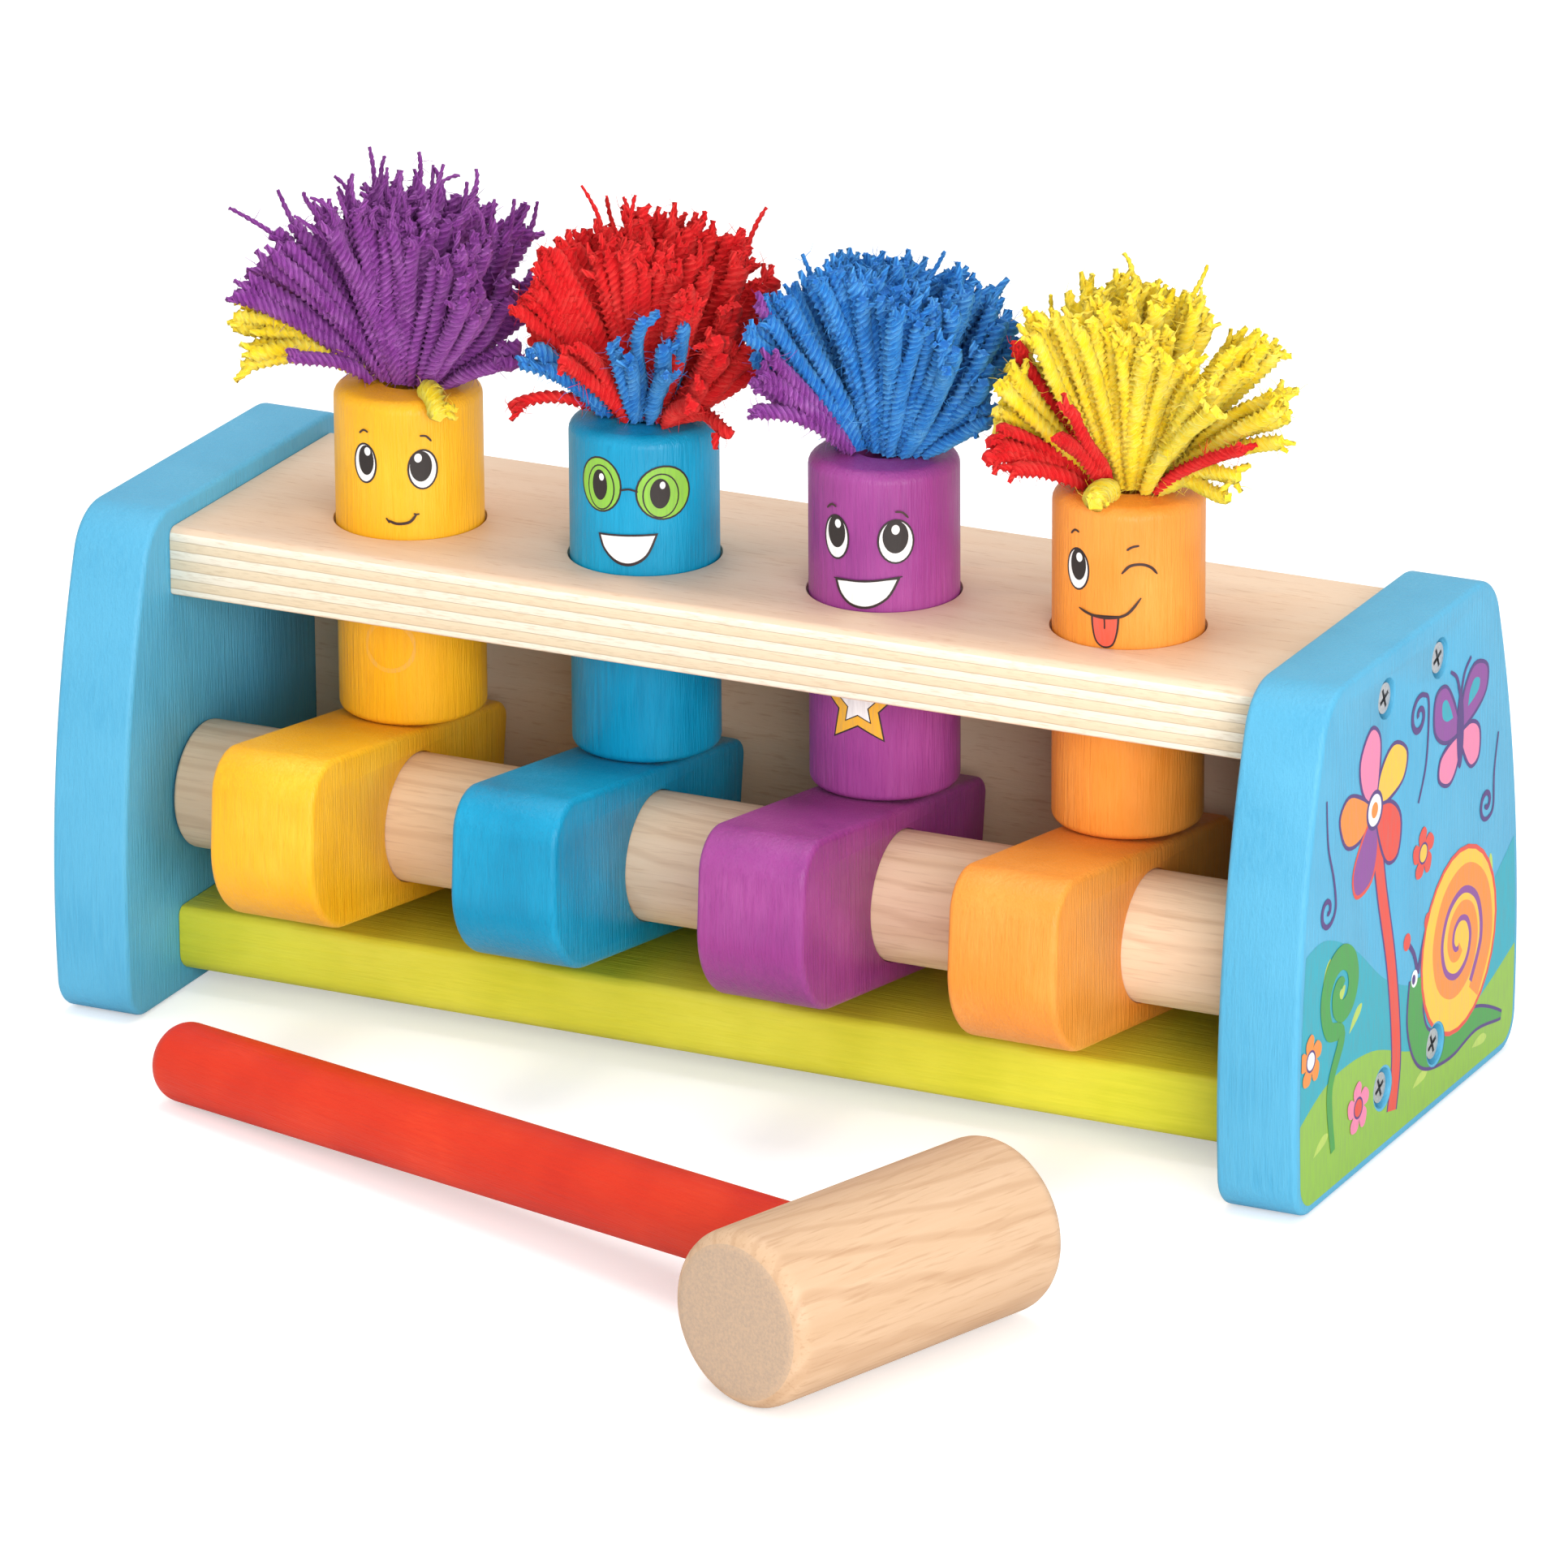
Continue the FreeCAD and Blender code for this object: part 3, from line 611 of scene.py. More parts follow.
peg = {"radius": 15.9, "foot": 63.4, "length": 72.4, "topRound": 2.7, "footRound": 1.8, "root": 5.0,
       "rootDepth": 12.0}


def makePeg(colour, x):
    radius, length, low, high = peg["radius"], peg["length"], peg["footRound"], peg["topRound"]
    profile = [(0, 0)]
    for turn in (math.pi / 2 * i / 5 for i in range(6)):
        profile.append((radius - low * (1 - math.sin(turn)), low * (1 - math.cos(turn))))
    for turn in (math.pi / 2 * i / 6 for i in range(7)):
        profile.append((radius - high * (1 - math.cos(turn)), length - high * (1 - math.sin(turn))))
    root, floor = peg["root"], length - peg["rootDepth"]
    profile += [(root + 0.5, length), (root, length - 0.5), (root, floor), (0, floor)]
    piece = turnedPiece(f"peg_{colour}", profile,
                        lambda a, b, h: Vector((x + a, board["pegRow"] + b, peg["foot"] + h)),
                        toyPaint[colour], 120)
    return dress(piece, f"{colour}_peg", f"{colour}_paint", f"peg_{colour}")


for colour, x in zip(("yellow", "blue", "purple", "orange"), pegPlaces):
    makePeg(colour, x)
print("pegs ready")

# printed faces and picture

inkTone = {"outline": "#2B1A1E", "white": "#F6F4F2", "pupil": "#231815", "brown": "#3A1F18",
           "green": "#8CC63F", "tongue": "#E2543B", "gold": "#F3B42B", "teal": "#17A5B8", "hill": "#8DBA3B",
           "farHill": "#B7D05A", "sun": "#F8C22D", "orange": "#F08A24", "red": "#E2402C",
           "purple": "#8A3F97", "pink": "#F07FA8", "night": "#4B2A78", "leaf": "#3E9A3F",
           "cloud": "#F4F8FA", "faintRing": "#F5B01E"}
inks = {}


def inkNumber(materials, name):
    if name not in inks:
        inks[name] = printInk(f"{name}PrintInk", inkTone[name])
    if inks[name] not in materials:
        materials.append(inks[name])
    return materials.index(inks[name])


def ovalShape(x, y, wide, tall, steps=28):
    turns = [2 * math.pi * i / steps for i in range(steps)]
    return [(x + wide * math.cos(turn), y + tall * math.sin(turn)) for turn in turns]


def smoothLine(points, steps=8):
    # Catmull-Rom line through the points
    ends = [points[0]] + list(points) + [points[-1]]
    line = []
    for i in range(1, len(ends) - 2):
        a, b, c, d = (Vector(ends[i + k]) for k in (-1, 0, 1, 2))
        for step in range(steps):
            t = step / steps
            bow, swing = 2 * a - 5 * b + 4 * c - d, 3 * b - a - 3 * c + d
            line.append(tuple(0.5 * (2 * b + (c - a) * t + bow * t * t + swing * t ** 3)))
    return line + [tuple(points[-1])]


def strokeShape(points, width, steps=8):
    # a pen line with pointed round ends, drawn through the points
    line = [Vector(p) for p in smoothLine(points, steps)]
    left, right = [], []
    for i, here in enumerate(line):
        way = (line[min(i + 1, len(line) - 1)] - line[max(i - 1, 0)]).normalized()
        half = width / 2 * min(1.0, 0.45 + 4 * min(i, len(line) - 1 - i) / len(line))
        left.append(tuple(here + Vector((-way.y, way.x)) * half))
        right.append(tuple(here - Vector((-way.y, way.x)) * half))
    return left + right[::-1]


def starShape(x, y, outer, inner, points=5):
    shape = []
    for i in range(2 * points):
        turn = math.radians(90 + 180 * i / points)
        reach = inner if i % 2 else outer
        shape.append((x + reach * math.cos(turn), y + reach * math.sin(turn)))
    return shape


def centreWithin(face, x, y, reach):
    middle = face.calc_center_median()
    return (middle.x - x) ** 2 + (middle.y - y) ** 2 < reach ** 2


def bisect(form, geometry, point, way, **settings):
    bmesh.ops.bisect_plane(form, geom=geometry, plane_co=(*point, 0), plane_no=(*way, 0), dist=1e-5,
                           **settings)


def allOf(form):
    return form.verts[:] + form.edges[:] + form.faces[:]


def cutHole(form, x, y, radius, sides=24):
    # a ring of straight cuts round the hole, the first few right across the print, then the inside goes
    for i in range(sides):
        turn = 2 * math.pi * i / sides
        way = (math.cos(turn), math.sin(turn))
        near = form.faces[:]
        if i % 6 and i > 5:
            near = [face for face in near if centreWithin(face, x, y, radius * 1.45)]
        parts = dict.fromkeys(near)
        for face in near:
            parts.update(dict.fromkeys([*face.edges, *face.verts]))
        bisect(form, list(parts), (x + radius * way[0], y + radius * way[1]), way)
    gone = [face for face in form.faces if centreWithin(face, x, y, radius * 0.999)]
    bmesh.ops.delete(form, geom=gone, context="FACES")


def layShapes(name, shapes, place, step, body, slot, clip=(), holes=()):
    # shapes: (ink, outline, ...) from the lowest up; place turns (across, up, layer) into a point; step is
    # the width of the strips that let a print bend
    materials = []
    form = bmesh.new()
    for layer, (ink, *outlines) in enumerate(shapes):
        for outline in outlines:
            face = form.faces.new([form.verts.new((p[0], p[1], layer)) for p in outline])
            face.normal_update()
            if face.normal.z < 0:
                face.normal_flip()
            face.material_index = inkNumber(materials, ink)
    for point, way in clip:
        bisect(form, allOf(form), point, way, clear_outer=True)
    for x, y, radius in holes:
        cutHole(form, x, y, radius)
    if step:
        low, high = min(v.co.x for v in form.verts), max(v.co.x for v in form.verts)
        cut = math.ceil(low / step) * step
        while cut < high:
            bisect(form, allOf(form), (cut, 0), (1, 0))
            cut += step
    bmesh.ops.triangulate(form, faces=form.faces[:])
    for vertex in form.verts:
        vertex.co = place(*vertex.co) / 1000
    mesh = bpy.data.meshes.new(name)
    form.to_mesh(mesh)
    form.free()
    for one in materials:
        mesh.materials.append(one)
    piece = bpy.data.objects.new(name, mesh)
    bpy.context.scene.collection.objects.link(piece)
    for face in mesh.polygons:
        face.use_smooth = bool(step)
    return dress(piece, body, slot)


def drawnLines(*lines):
    # lines: (ink, width, point, point, ...)
    return [(ink, strokeShape(points, width)) for ink, width, *points in lines]


def shrunk(points, x, y, across, up):
    # drawn in towards (x, y)
    return [(x + (p[0] - x) * across, y + (p[1] - y) * up) for p in points]


def ringShape(x, y, wide, tall, line, ink, inside):
    return [(ink, ovalShape(x, y, wide, tall)), (inside, ovalShape(x, y, wide - line, tall - line))]


def eyeShapes(x, y, wide, tall, pupilX, pupilY, pupilWide, pupilTall, shineX, shineY, shine):
    return ringShape(x, y, wide, tall, 0.42, "outline", "white") + [
        ("pupil", ovalShape(pupilX, pupilY, pupilWide, pupilTall)),
        ("white", ovalShape(shineX, shineY, shine, shine * 1.25))]


# millimetres round the peg's side and above its foot, straight ahead of the bench is 0
def yellowFace():
    shapes = []
    for half in (0, 180):  # a faint ring low on the peg
        turns = [math.radians(half + 20 * i) for i in range(10)]
        points = [(2.8 + 5.4 * math.cos(turn), 18.1 + 5.4 * math.sin(turn)) for turn in turns]
        shapes.append(("faintRing", strokeShape(points, 1.0, 3)))
    shapes += eyeShapes(-2.2, 58.6, 2.9, 4.5, -1.9, 59.3, 1.9, 3.3, -1.5, 61.3, 0.75)
    shapes += eyeShapes(10.6, 57.9, 3.3, 4.5, 10.2, 58.6, 2.35, 3.4, 9.6, 60.5, 0.8)
    return shapes + drawnLines(("brown", 0.45, (-3.4, 65.1), (-2.3, 66.0), (-1.2, 65.6)),
                               ("brown", 0.45, (10.0, 65.4), (11.4, 65.2), (12.5, 64.0)),
                               ("brown", 0.6, (3.1, 46.6), (5.0, 45.9), (7.6, 46.3), (9.1, 48.0)),
                               ("brown", 0.4, (2.7, 47.1), (3.1, 46.5), (3.4, 46.0)),
                               ("brown", 0.4, (8.5, 48.2), (9.1, 48.0), (9.7, 48.1)))


def blueFace():
    shapes = []
    glasses = ((-2.5, 61.6, 5.1, 6.1, 0.2, (0.0, 0.5)), (11.5, 60.4, 6.0, 6.0, -0.6, (-0.8, -0.3)))
    for x, y, wide, tall, inner, gaze in glasses:
        shapes += ringShape(x, y, wide, tall, 0.4, "outline", "green")
        shapes += ringShape(x + inner, y - 0.6, wide * 0.66, tall * 0.82, 0.32, "outline", "green")
        shapes += [("pupil", ovalShape(x + gaze[0], y - 0.1, wide * 0.36, tall * 0.55)),
                   ("white", ovalShape(x + gaze[1], y + 1.7, 0.6, 0.8))]
    shapes += drawnLines(("outline", 0.45, (2.2, 60.9), (4.2, 61.3), (6.1, 60.8)))
    smile = [(-2.8, 51.0), (-1.6, 47.6), (1.2, 44.9), (4.6, 44.4), (8.0, 46.6), (10.2, 51.6)]
    mouth = smile[:1] + smoothLine(smile, 5)
    return shapes + [("outline", mouth), ("white", shrunk(mouth, 3.5, 48.6, 0.90, 0.84))]


def purpleFace():
    shapes = [("outline", starShape(1.3, 21.5, 9.9, 4.9)), ("gold", starShape(1.3, 21.5, 9.2, 4.5)),
              ("outline", starShape(1.3, 21.5, 5.0, 2.5)), ("white", starShape(1.3, 21.5, 4.5, 2.2))]
    shapes += eyeShapes(-3.6, 57.7, 3.2, 4.9, -3.5, 58.9, 2.2, 3.5, -3.1, 60.7, 0.75)
    shapes += eyeShapes(9.5, 57.7, 3.9, 4.9, 9.4, 58.7, 2.7, 3.6, 9.4, 60.3, 0.85)
    shapes += drawnLines(("brown", 0.45, (-5.9, 63.6), (-4.6, 64.7), (-3.4, 64.3)),
                         ("brown", 0.45, (9.3, 64.2), (10.8, 64.0), (12.1, 62.7)))
    mouth = smoothLine([(-3.7, 48.6), (-2.6, 45.6), (0.0, 43.3), (4.0, 43.0), (8.0, 45.4), (10.4, 49.8)], 5)
    shapes += [("outline", mouth), ("white", shrunk(mouth, 2.9, 47.0, 0.90, 0.86))]
    return shapes + drawnLines(("outline", 0.45, (-4.0, 48.8), (3.0, 48.9), (10.8, 50.0)))


def orangeFace():
    shapes = eyeShapes(-4.7, 58.4, 3.0, 4.6, -4.5, 59.4, 2.0, 3.4, -4.2, 61.0, 0.8)
    shapes += drawnLines(("brown", 0.45, (-6.5, 65.7), (-5.4, 66.7), (-4.2, 66.4)),
                         ("brown", 0.6, (5.3, 58.6), (7.0, 60.3), (9.4, 60.6), (11.4, 59.8), (12.7, 58.3)),
                         ("brown", 0.5, (6.3, 63.7), (7.4, 64.4), (8.9, 64.7)))
    tongue = smoothLine([(-1.2, 49.3), (-1.0, 46.6), (-0.2, 43.6), (1.6, 42.3), (3.6, 43.0), (4.6, 46.0),
                         (4.9, 49.5)], 5)
    shapes += [("outline", tongue), ("tongue", shrunk(tongue, 1.8, 46.2, 0.86, 0.90))]
    return shapes + drawnLines(("brown", 0.35, (1.7, 49.0), (1.8, 47.6), (1.8, 46.4)),
                               ("brown", 0.6, (-4.1, 50.2), (-1.2, 49.2), (2.6, 48.9), (6.4, 49.9),
                                (9.3, 53.4)))


printGap = {"peg": 0.05, "pegLayer": 0.025, "plate": 0.03, "plateLayer": 0.002}  # ink's height over the paint
faces = {"yellow": yellowFace, "blue": blueFace, "purple": purpleFace, "orange": orangeFace}
for x, (colour, face) in zip(pegPlaces, faces.items()):
    def onPeg(across, up, layer, x=x):
        reach = peg["radius"] + printGap["peg"] + printGap["pegLayer"] * layer
        turn = across / peg["radius"]
        return Vector((x + reach * math.sin(turn), board["pegRow"] - reach * math.cos(turn),
                       peg["foot"] + up))
    layShapes(f"{colour}_peg_print", face(), onPeg, 1.0, f"{colour}_peg", f"{colour}_paint")


def ribbon(points, widths, steps=8):
    # a painted ribbon as a row of short pieces; widths go from the first point to the last
    line = [Vector(p) for p in smoothLine(points, steps)]
    rows = []
    for i, here in enumerate(line):
        way = (line[min(i + 1, len(line) - 1)] - line[max(i - 1, 0)]).normalized()
        share = i / (len(line) - 1) * (len(widths) - 1)
        low = min(int(share), len(widths) - 2)
        half = (widths[low] + (widths[low + 1] - widths[low]) * (share - low)) / 2
        side = Vector((-way.y, way.x)) * half
        rows.append((tuple(here + side), tuple(here - side)))
    return [[a[0], b[0], b[1], a[1]] for a, b in zip(rows, rows[1:])]


def curlLine(x, y, radius, turns, start, inner=0.12):
    # points of a spiral from its rim at the start angle to its middle; angles in degrees
    count = round(8 * abs(turns))
    points = []
    for share in (i / count for i in range(count + 1)):
        reach, turn = radius * (1 - (1 - inner) * share), math.radians(start + 360 * turns * share)
        points.append((x + reach * math.cos(turn), y + reach * math.sin(turn)))
    return points


def outlined(ink, outline, line, rim="night"):
    # a closed shape with a drawn line round it
    middle = sum((Vector(p) for p in outline), Vector((0, 0))) / len(outline)
    grown = [tuple(Vector(p) + (Vector(p) - middle).normalized() * line) for p in outline]
    return [(rim, grown), (ink, outline)]


def petal(x, y, length, width, lean):
    # a leaf or blade, round at its far end, from its root at (x, y)
    way = Vector((1, 0))
    way.rotate(Matrix.Rotation(math.radians(lean), 2))
    side = Vector((-way.y, way.x)) * width / 2
    root = Vector((x, y))
    shares = [(0, 0), (0.35, 0.9), (0.75, 1), (1, 0), (0.8, -0.7), (0.4, -0.5), (0, 0)]  # along, aside
    return smoothLine([tuple(root + way * length * far + side * aside) for far, aside in shares], 5)[:-1]


picturePlaces = {
    "distantHills": [(-60, 56), (-46, 58), (-30, 51), (-12, 38), (8, 31), (30, 34), (60, 50)],
    "meadow": [(-60, 20), (-42, 26), (-20, 25), (4, 17), (28, 15), (60, 24)],
    "tufts": [(-46, 46, 60), (-40, 39, 45), (-32, 33, 35), (44, 40, 100), (46, 30, 100), (-50, 12, 20),
              (2, 9, 10), (34, 7, 0)],
    "stem": [(-20, 78), (-16, 60), (-10, 40), (-7, 20), (-9, 8)],
    "blades": {"sun": 25, "pink": 97, "orange": 169, "purple": 241, "red": 313},
    "snailBody": [(4, 33), (3, 24), (8, 16), (20, 13), (36, 13), (50, 9)],
    "flowers": [(6, 60, "red", "sun"), (-27, 15, "pink", "red"), (-52, 34, "orange", "cloud")],
    "curls": [("leaf", [(-40, 10), (-42, 24), (-36, 34)], (-36, 44, 10, -1.6, -90), [2.2, 5.6, 5.0, 2.0]),
              ("night", [(3, 72), (7, 80)], (3, 91, 5.4, 1.6, -30), [0.7, 1.5, 1.1]),
              ("night", [(-45, 88), (-44, 78), (-41, 70)], (-44, 64, 4.6, -1.4, 45), [0.6, 1.3, 1.0]),
              ("night", [(46, 74), (44, 66)], (40, 60, 4.4, -1.5, 20), [0.6, 1.3, 1.0])]}


def picture():
    # a made-up garden: pinwheel, snail, butterfly, flowers and curls; millimetres across and up the plate
    shapes = []
    for ink, place in (("teal", "distantHills"), ("hill", "meadow")):
        shapes.append((ink, smoothLine(picturePlaces[place], 8) + [(60, -5), (-60, -5)]))
    for x, y, lean in picturePlaces["tufts"]:
        shapes.append(("farHill", petal(x, y, 8, 2.6, lean)))

    stem = picturePlaces["stem"]
    shapes += [("night", *ribbon(stem, [5.6, 5.2, 5.6])), ("red", *ribbon(stem, [4.4, 4.0, 4.4]))]
    for ink, lean in picturePlaces["blades"].items():
        shapes += outlined(ink, petal(-20, 78, 18, 11.5, lean), 0.9, "night" if ink != "purple" else "red")
    shapes += outlined("cloud", ovalShape(-20, 78, 3.4, 3.4), 0.9)
    shapes += [("orange", ovalShape(-20, 78, 1.7, 1.7))]

    body = picturePlaces["snailBody"]
    shapes += [("night", *ribbon(body, [9.6, 9.2, 8.6, 2.2])), ("leaf", *ribbon(body, [8.0, 7.6, 7.0, 0.8]))]
    for x, y in ((-2, 43), (9, 44)):
        feeler = [(4, 34), (x * 0.4 + 2.6, 39), (x, y)]
        shapes += [("night", *ribbon(feeler, [1.5, 1.2])), ("red", ovalShape(x, y, 1.9, 1.9))]
    shapes += [("cloud", ovalShape(2.2, 33.5, 1.7, 1.9)), ("night", ovalShape(1.8, 33.4, 0.9, 1.1))]
    shapes += outlined("sun", ovalShape(26, 34, 19.5, 19.5), 1.0, "red")
    shapes += [("orange", *ribbon(curlLine(26, 34, 16.5, 2.0, -60), [6.0, 3.0])),
               ("purple", *ribbon(curlLine(26, 34, 13.1, 1.9, -60), [1.7, 1.1]))]

    for side, lean in ((1, 35), (-1, 140)):
        shapes += outlined("purple", petal(25, 81, 17, 11, lean), 0.9)
        shapes += outlined("pink", petal(25, 80, 12.5, 9, lean - side * 72), 0.9)
        feeler = [(25, 88), (25 + side * 2, 93), (25 + side * 5.5, 95.5)]
        shapes += [("teal", petal(25 + side * 4, 85, 7.5, 4.4, lean)), ("night", *ribbon(feeler, [1.2, 0.8]))]
    shapes.append(("night", ovalShape(25, 81, 1.9, 8.5)))

    for ink, start, curl, widths in picturePlaces["curls"]:
        shapes.append((ink, *ribbon(start + curlLine(*curl)[1:], widths)))
    for x, y, ink, heart in picturePlaces["flowers"]:
        for i in range(5):
            shapes.append((ink, petal(x, y, 5.8, 4.6, 72 * i + 18)))
        shapes += outlined(heart, ovalShape(x, y, 1.9, 1.9), 0.5)
    return shapes


def onPlate(across, up, layer):
    proud = printGap["plate"] + printGap["plateLayer"] * layer
    return Vector((bench["half"] + proud, bench["back"] + across, up))


seats = [(across, up, plate["seatRadius"] + 0.6) for across in (plate["screwAcross"], -plate["screwAcross"])
         for up in plate["screwHeights"]]
rim = [(p - way * 2.2, way) for p, way in plateOutline()[::2]]
layShapes("right_plate_print", picture(), onPlate, 0, "bench", "sky_blue_paint", clip=rim, holes=seats)
print("prints ready")

# screws

screw = {"headRadius": 3.8, "headHeight": 3.3, "shankRadius": 1.75, "length": 38.0, "slotLong": 4.4,
         "slotWide": 0.9, "slotDeep": 1.5, "seat": 141.0}


def newTree(name, inputs):
    # inputs: name -> (socket kind, value); gives the tree, its inputs' outputs and its output node
    tree = bpy.data.node_groups.new(name, "GeometryNodeTree")
    tree.interface.new_socket("Geometry", in_out="INPUT", socket_type="NodeSocketGeometry")
    tree.interface.new_socket("Geometry", in_out="OUTPUT", socket_type="NodeSocketGeometry")
    for label, (kind, value) in inputs.items():
        socket = tree.interface.new_socket(label, in_out="INPUT", socket_type=kind)
        if value is not None:
            socket.default_value = value
    return tree, tree.nodes.new("NodeGroupInput").outputs, tree.nodes.new("NodeGroupOutput")


def applyTree(piece, tree, material, values=None):
    modifier = piece.modifiers.new(tree.name, "NODES")
    modifier.node_group = tree
    for item in tree.interface.items_tree:
        if item.in_out == "INPUT" and item.name in (values or {}):
            modifier[item.identifier] = values[item.name]
    keepShape(piece)
    piece.data.materials.clear()  # only the finish that the tree set, in one slot
    piece.data.materials.append(material)
    piece.data.polygons.foreach_set("material_index", [0] * len(piece.data.polygons))
    return piece


def screwTree():
    # a head with a cross recess over a tapering shank, one on each point, turned to the point's way
    metres = {name: value / 1000 for name, value in screw.items()}
    tree, given, result = newTree("crossHeadScrews", {
        "Head radius": ("NodeSocketFloat", metres["headRadius"]),
        "Head height": ("NodeSocketFloat", metres["headHeight"]),
        "Shank radius": ("NodeSocketFloat", metres["shankRadius"]),
        "Length": ("NodeSocketFloat", metres["length"]),
        "Slot": ("NodeSocketVector", (metres["slotLong"], metres["slotWide"], 2 * metres["slotDeep"])),
        "Metal": ("NodeSocketMaterial", None)})
    rim = addNode(tree, "ShaderNodeMath", {0: given["Head radius"], 1: 0.86}, operation="MULTIPLY")
    head = addNode(tree, "GeometryNodeMeshCone", {"Vertices": 32, "Side Segments": 3, "Radius Top": rim,
                                                 "Radius Bottom": given["Head radius"],
                                                 "Depth": given["Head height"]})
    bar = addNode(tree, "GeometryNodeMeshCube", {"Size": given["Slot"]})
    lift = addNode(tree, "ShaderNodeCombineXYZ", {"Z": given["Head height"]})
    slots = [addNode(tree, "GeometryNodeTransform", {"Geometry": bar, "Translation": lift,
                                                    "Rotation": (0, 0, turn + 0.4)})
             for turn in (0.0, math.pi / 2)]
    head = addNode(tree, "GeometryNodeMeshBoolean", {"Mesh 1": head, "Mesh 2": slots},
                   operation="DIFFERENCE", solver="EXACT")
    point = addNode(tree, "ShaderNodeMath", {0: given["Shank radius"], 1: 0.5}, operation="MULTIPLY")
    shank = addNode(tree, "GeometryNodeMeshCone", {"Vertices": 12, "Radius Top": given["Shank radius"],
                                                  "Radius Bottom": point, "Depth": given["Length"]})
    down = addNode(tree, "ShaderNodeMath", {0: given["Length"], 1: -1.0}, operation="MULTIPLY")
    down = addNode(tree, "ShaderNodeCombineXYZ", {"Z": down})
    shank = addNode(tree, "GeometryNodeTransform", {"Geometry": shank, "Translation": down})
    whole = addNode(tree, "GeometryNodeJoinGeometry", {0: [head, shank]})
    way = addNode(tree, "GeometryNodeInputNamedAttribute", {"Name": "way"}, data_type="FLOAT_VECTOR")
    turned = addNode(tree, "FunctionNodeAlignRotationToVector", {"Vector": way}, axis="Z")
    laid = addNode(tree, "GeometryNodeInstanceOnPoints", {"Points": given["Geometry"], "Instance": whole,
                                                         "Rotation": turned})
    real = addNode(tree, "GeometryNodeRealizeInstances", {0: laid})
    done = addNode(tree, "GeometryNodeSetMaterial", {"Geometry": real, "Material": given["Metal"]})
    tree.links.new(done, result.inputs[0])
    return tree


def makeScrews(name, height, tree):
    apart = plate["screwAcross"]
    points = [(side * screw["seat"], bench["back"] + across, height) for side in (1, -1)
              for across in (apart, -apart)]
    piece = makeMesh(name, points, [], zinc)
    way = piece.data.attributes.new("way", "FLOAT_VECTOR", "POINT")
    for i, vertex in enumerate(piece.data.vertices):
        way.data[i].vector = (math.copysign(1, vertex.co.x), 0, 0)
    applyTree(piece, tree, zinc, {"Metal": zinc})
    shadeByAngle(piece, 35)
    print(name, len(piece.data.polygons), "faces")
    return dress(piece, "bench", "zinc_screw", name)


woodScrew = screwTree()
makeScrews("top_board_screws", plate["screwHeights"][0], woodScrew)
makeScrews("base_board_screws", plate["screwHeights"][1], woodScrew)
print("screws ready")

# mallet

mallet = {"x": 95.9, "y": -87.8, "headRadius": 18.4, "headLength": 76.0, "headEdge": 4.2, "handleRadius": 8.6,
          "reach": 206.0, "rest": 202.0, "handleEdge": 4.5, "socket": 27.0}


def makeMallet():
    headRadius, handleRadius, rest = mallet["headRadius"], mallet["handleRadius"], mallet["rest"]
    dip = math.asin(headRadius / math.hypot(rest, handleRadius)) - math.atan2(handleRadius, rest)
    turn = Matrix.Rotation(math.radians(malletYaw), 4, "Z") @ Matrix.Rotation(-dip, 4, "X")
    middle = Vector((mallet["x"], mallet["y"], headRadius))

    def headPlace(a, b, h):
        return turn @ Vector((h, a, b)) + middle

    def handlePlace(a, b, h):
        return turn @ Vector((a, h, b)) + middle

    half, edge = mallet["headLength"] / 2, mallet["headEdge"]
    right = [(0, half)] + [(headRadius - edge * (1 - math.sin(t)), half - edge * (1 - math.cos(t)))
                           for t in (math.pi / 2 * i / 7 for i in range(8))]
    profile = [(r, -h) for r, h in right] + list(reversed(right))
    head = turnedPiece("hammer_head", profile, headPlace, headWood, 120)
    inner = headRadius - mallet["socket"]
    cutAway(head, [roundBar("socket", handleRadius + 0.1, inner, 40, handlePlace, 64)], 0.5)

    edge, reach = mallet["handleEdge"], mallet["reach"]
    profile = [(0, inner + 0.2), (handleRadius - 0.5, inner + 0.2), (handleRadius, inner + 0.7)]
    profile += [(handleRadius - edge * (1 - math.cos(t)), reach - edge * (1 - math.sin(t)))
                for t in (math.pi / 2 * i / 8 for i in range(9))]
    handle = turnedPiece("hammer_handle", profile + [(0, reach)], handlePlace, toyPaint["red"], 72)
    dress(head, "hammer", "beech", "hammer_head")
    dress(handle, "hammer", "red_paint", "hammer_handle")


makeMallet()
print("mallet ready")

# yarn hair

hair = {"root": 8.6, "reach": 41.5, "sideLimit": 29.0, "sideLean": 12.0, "frontLean": 74.0, "backLean": 58.0,
        "yarns": 132, "perLock": 3, "thick": 1.88, "ringEvery": 0.8}


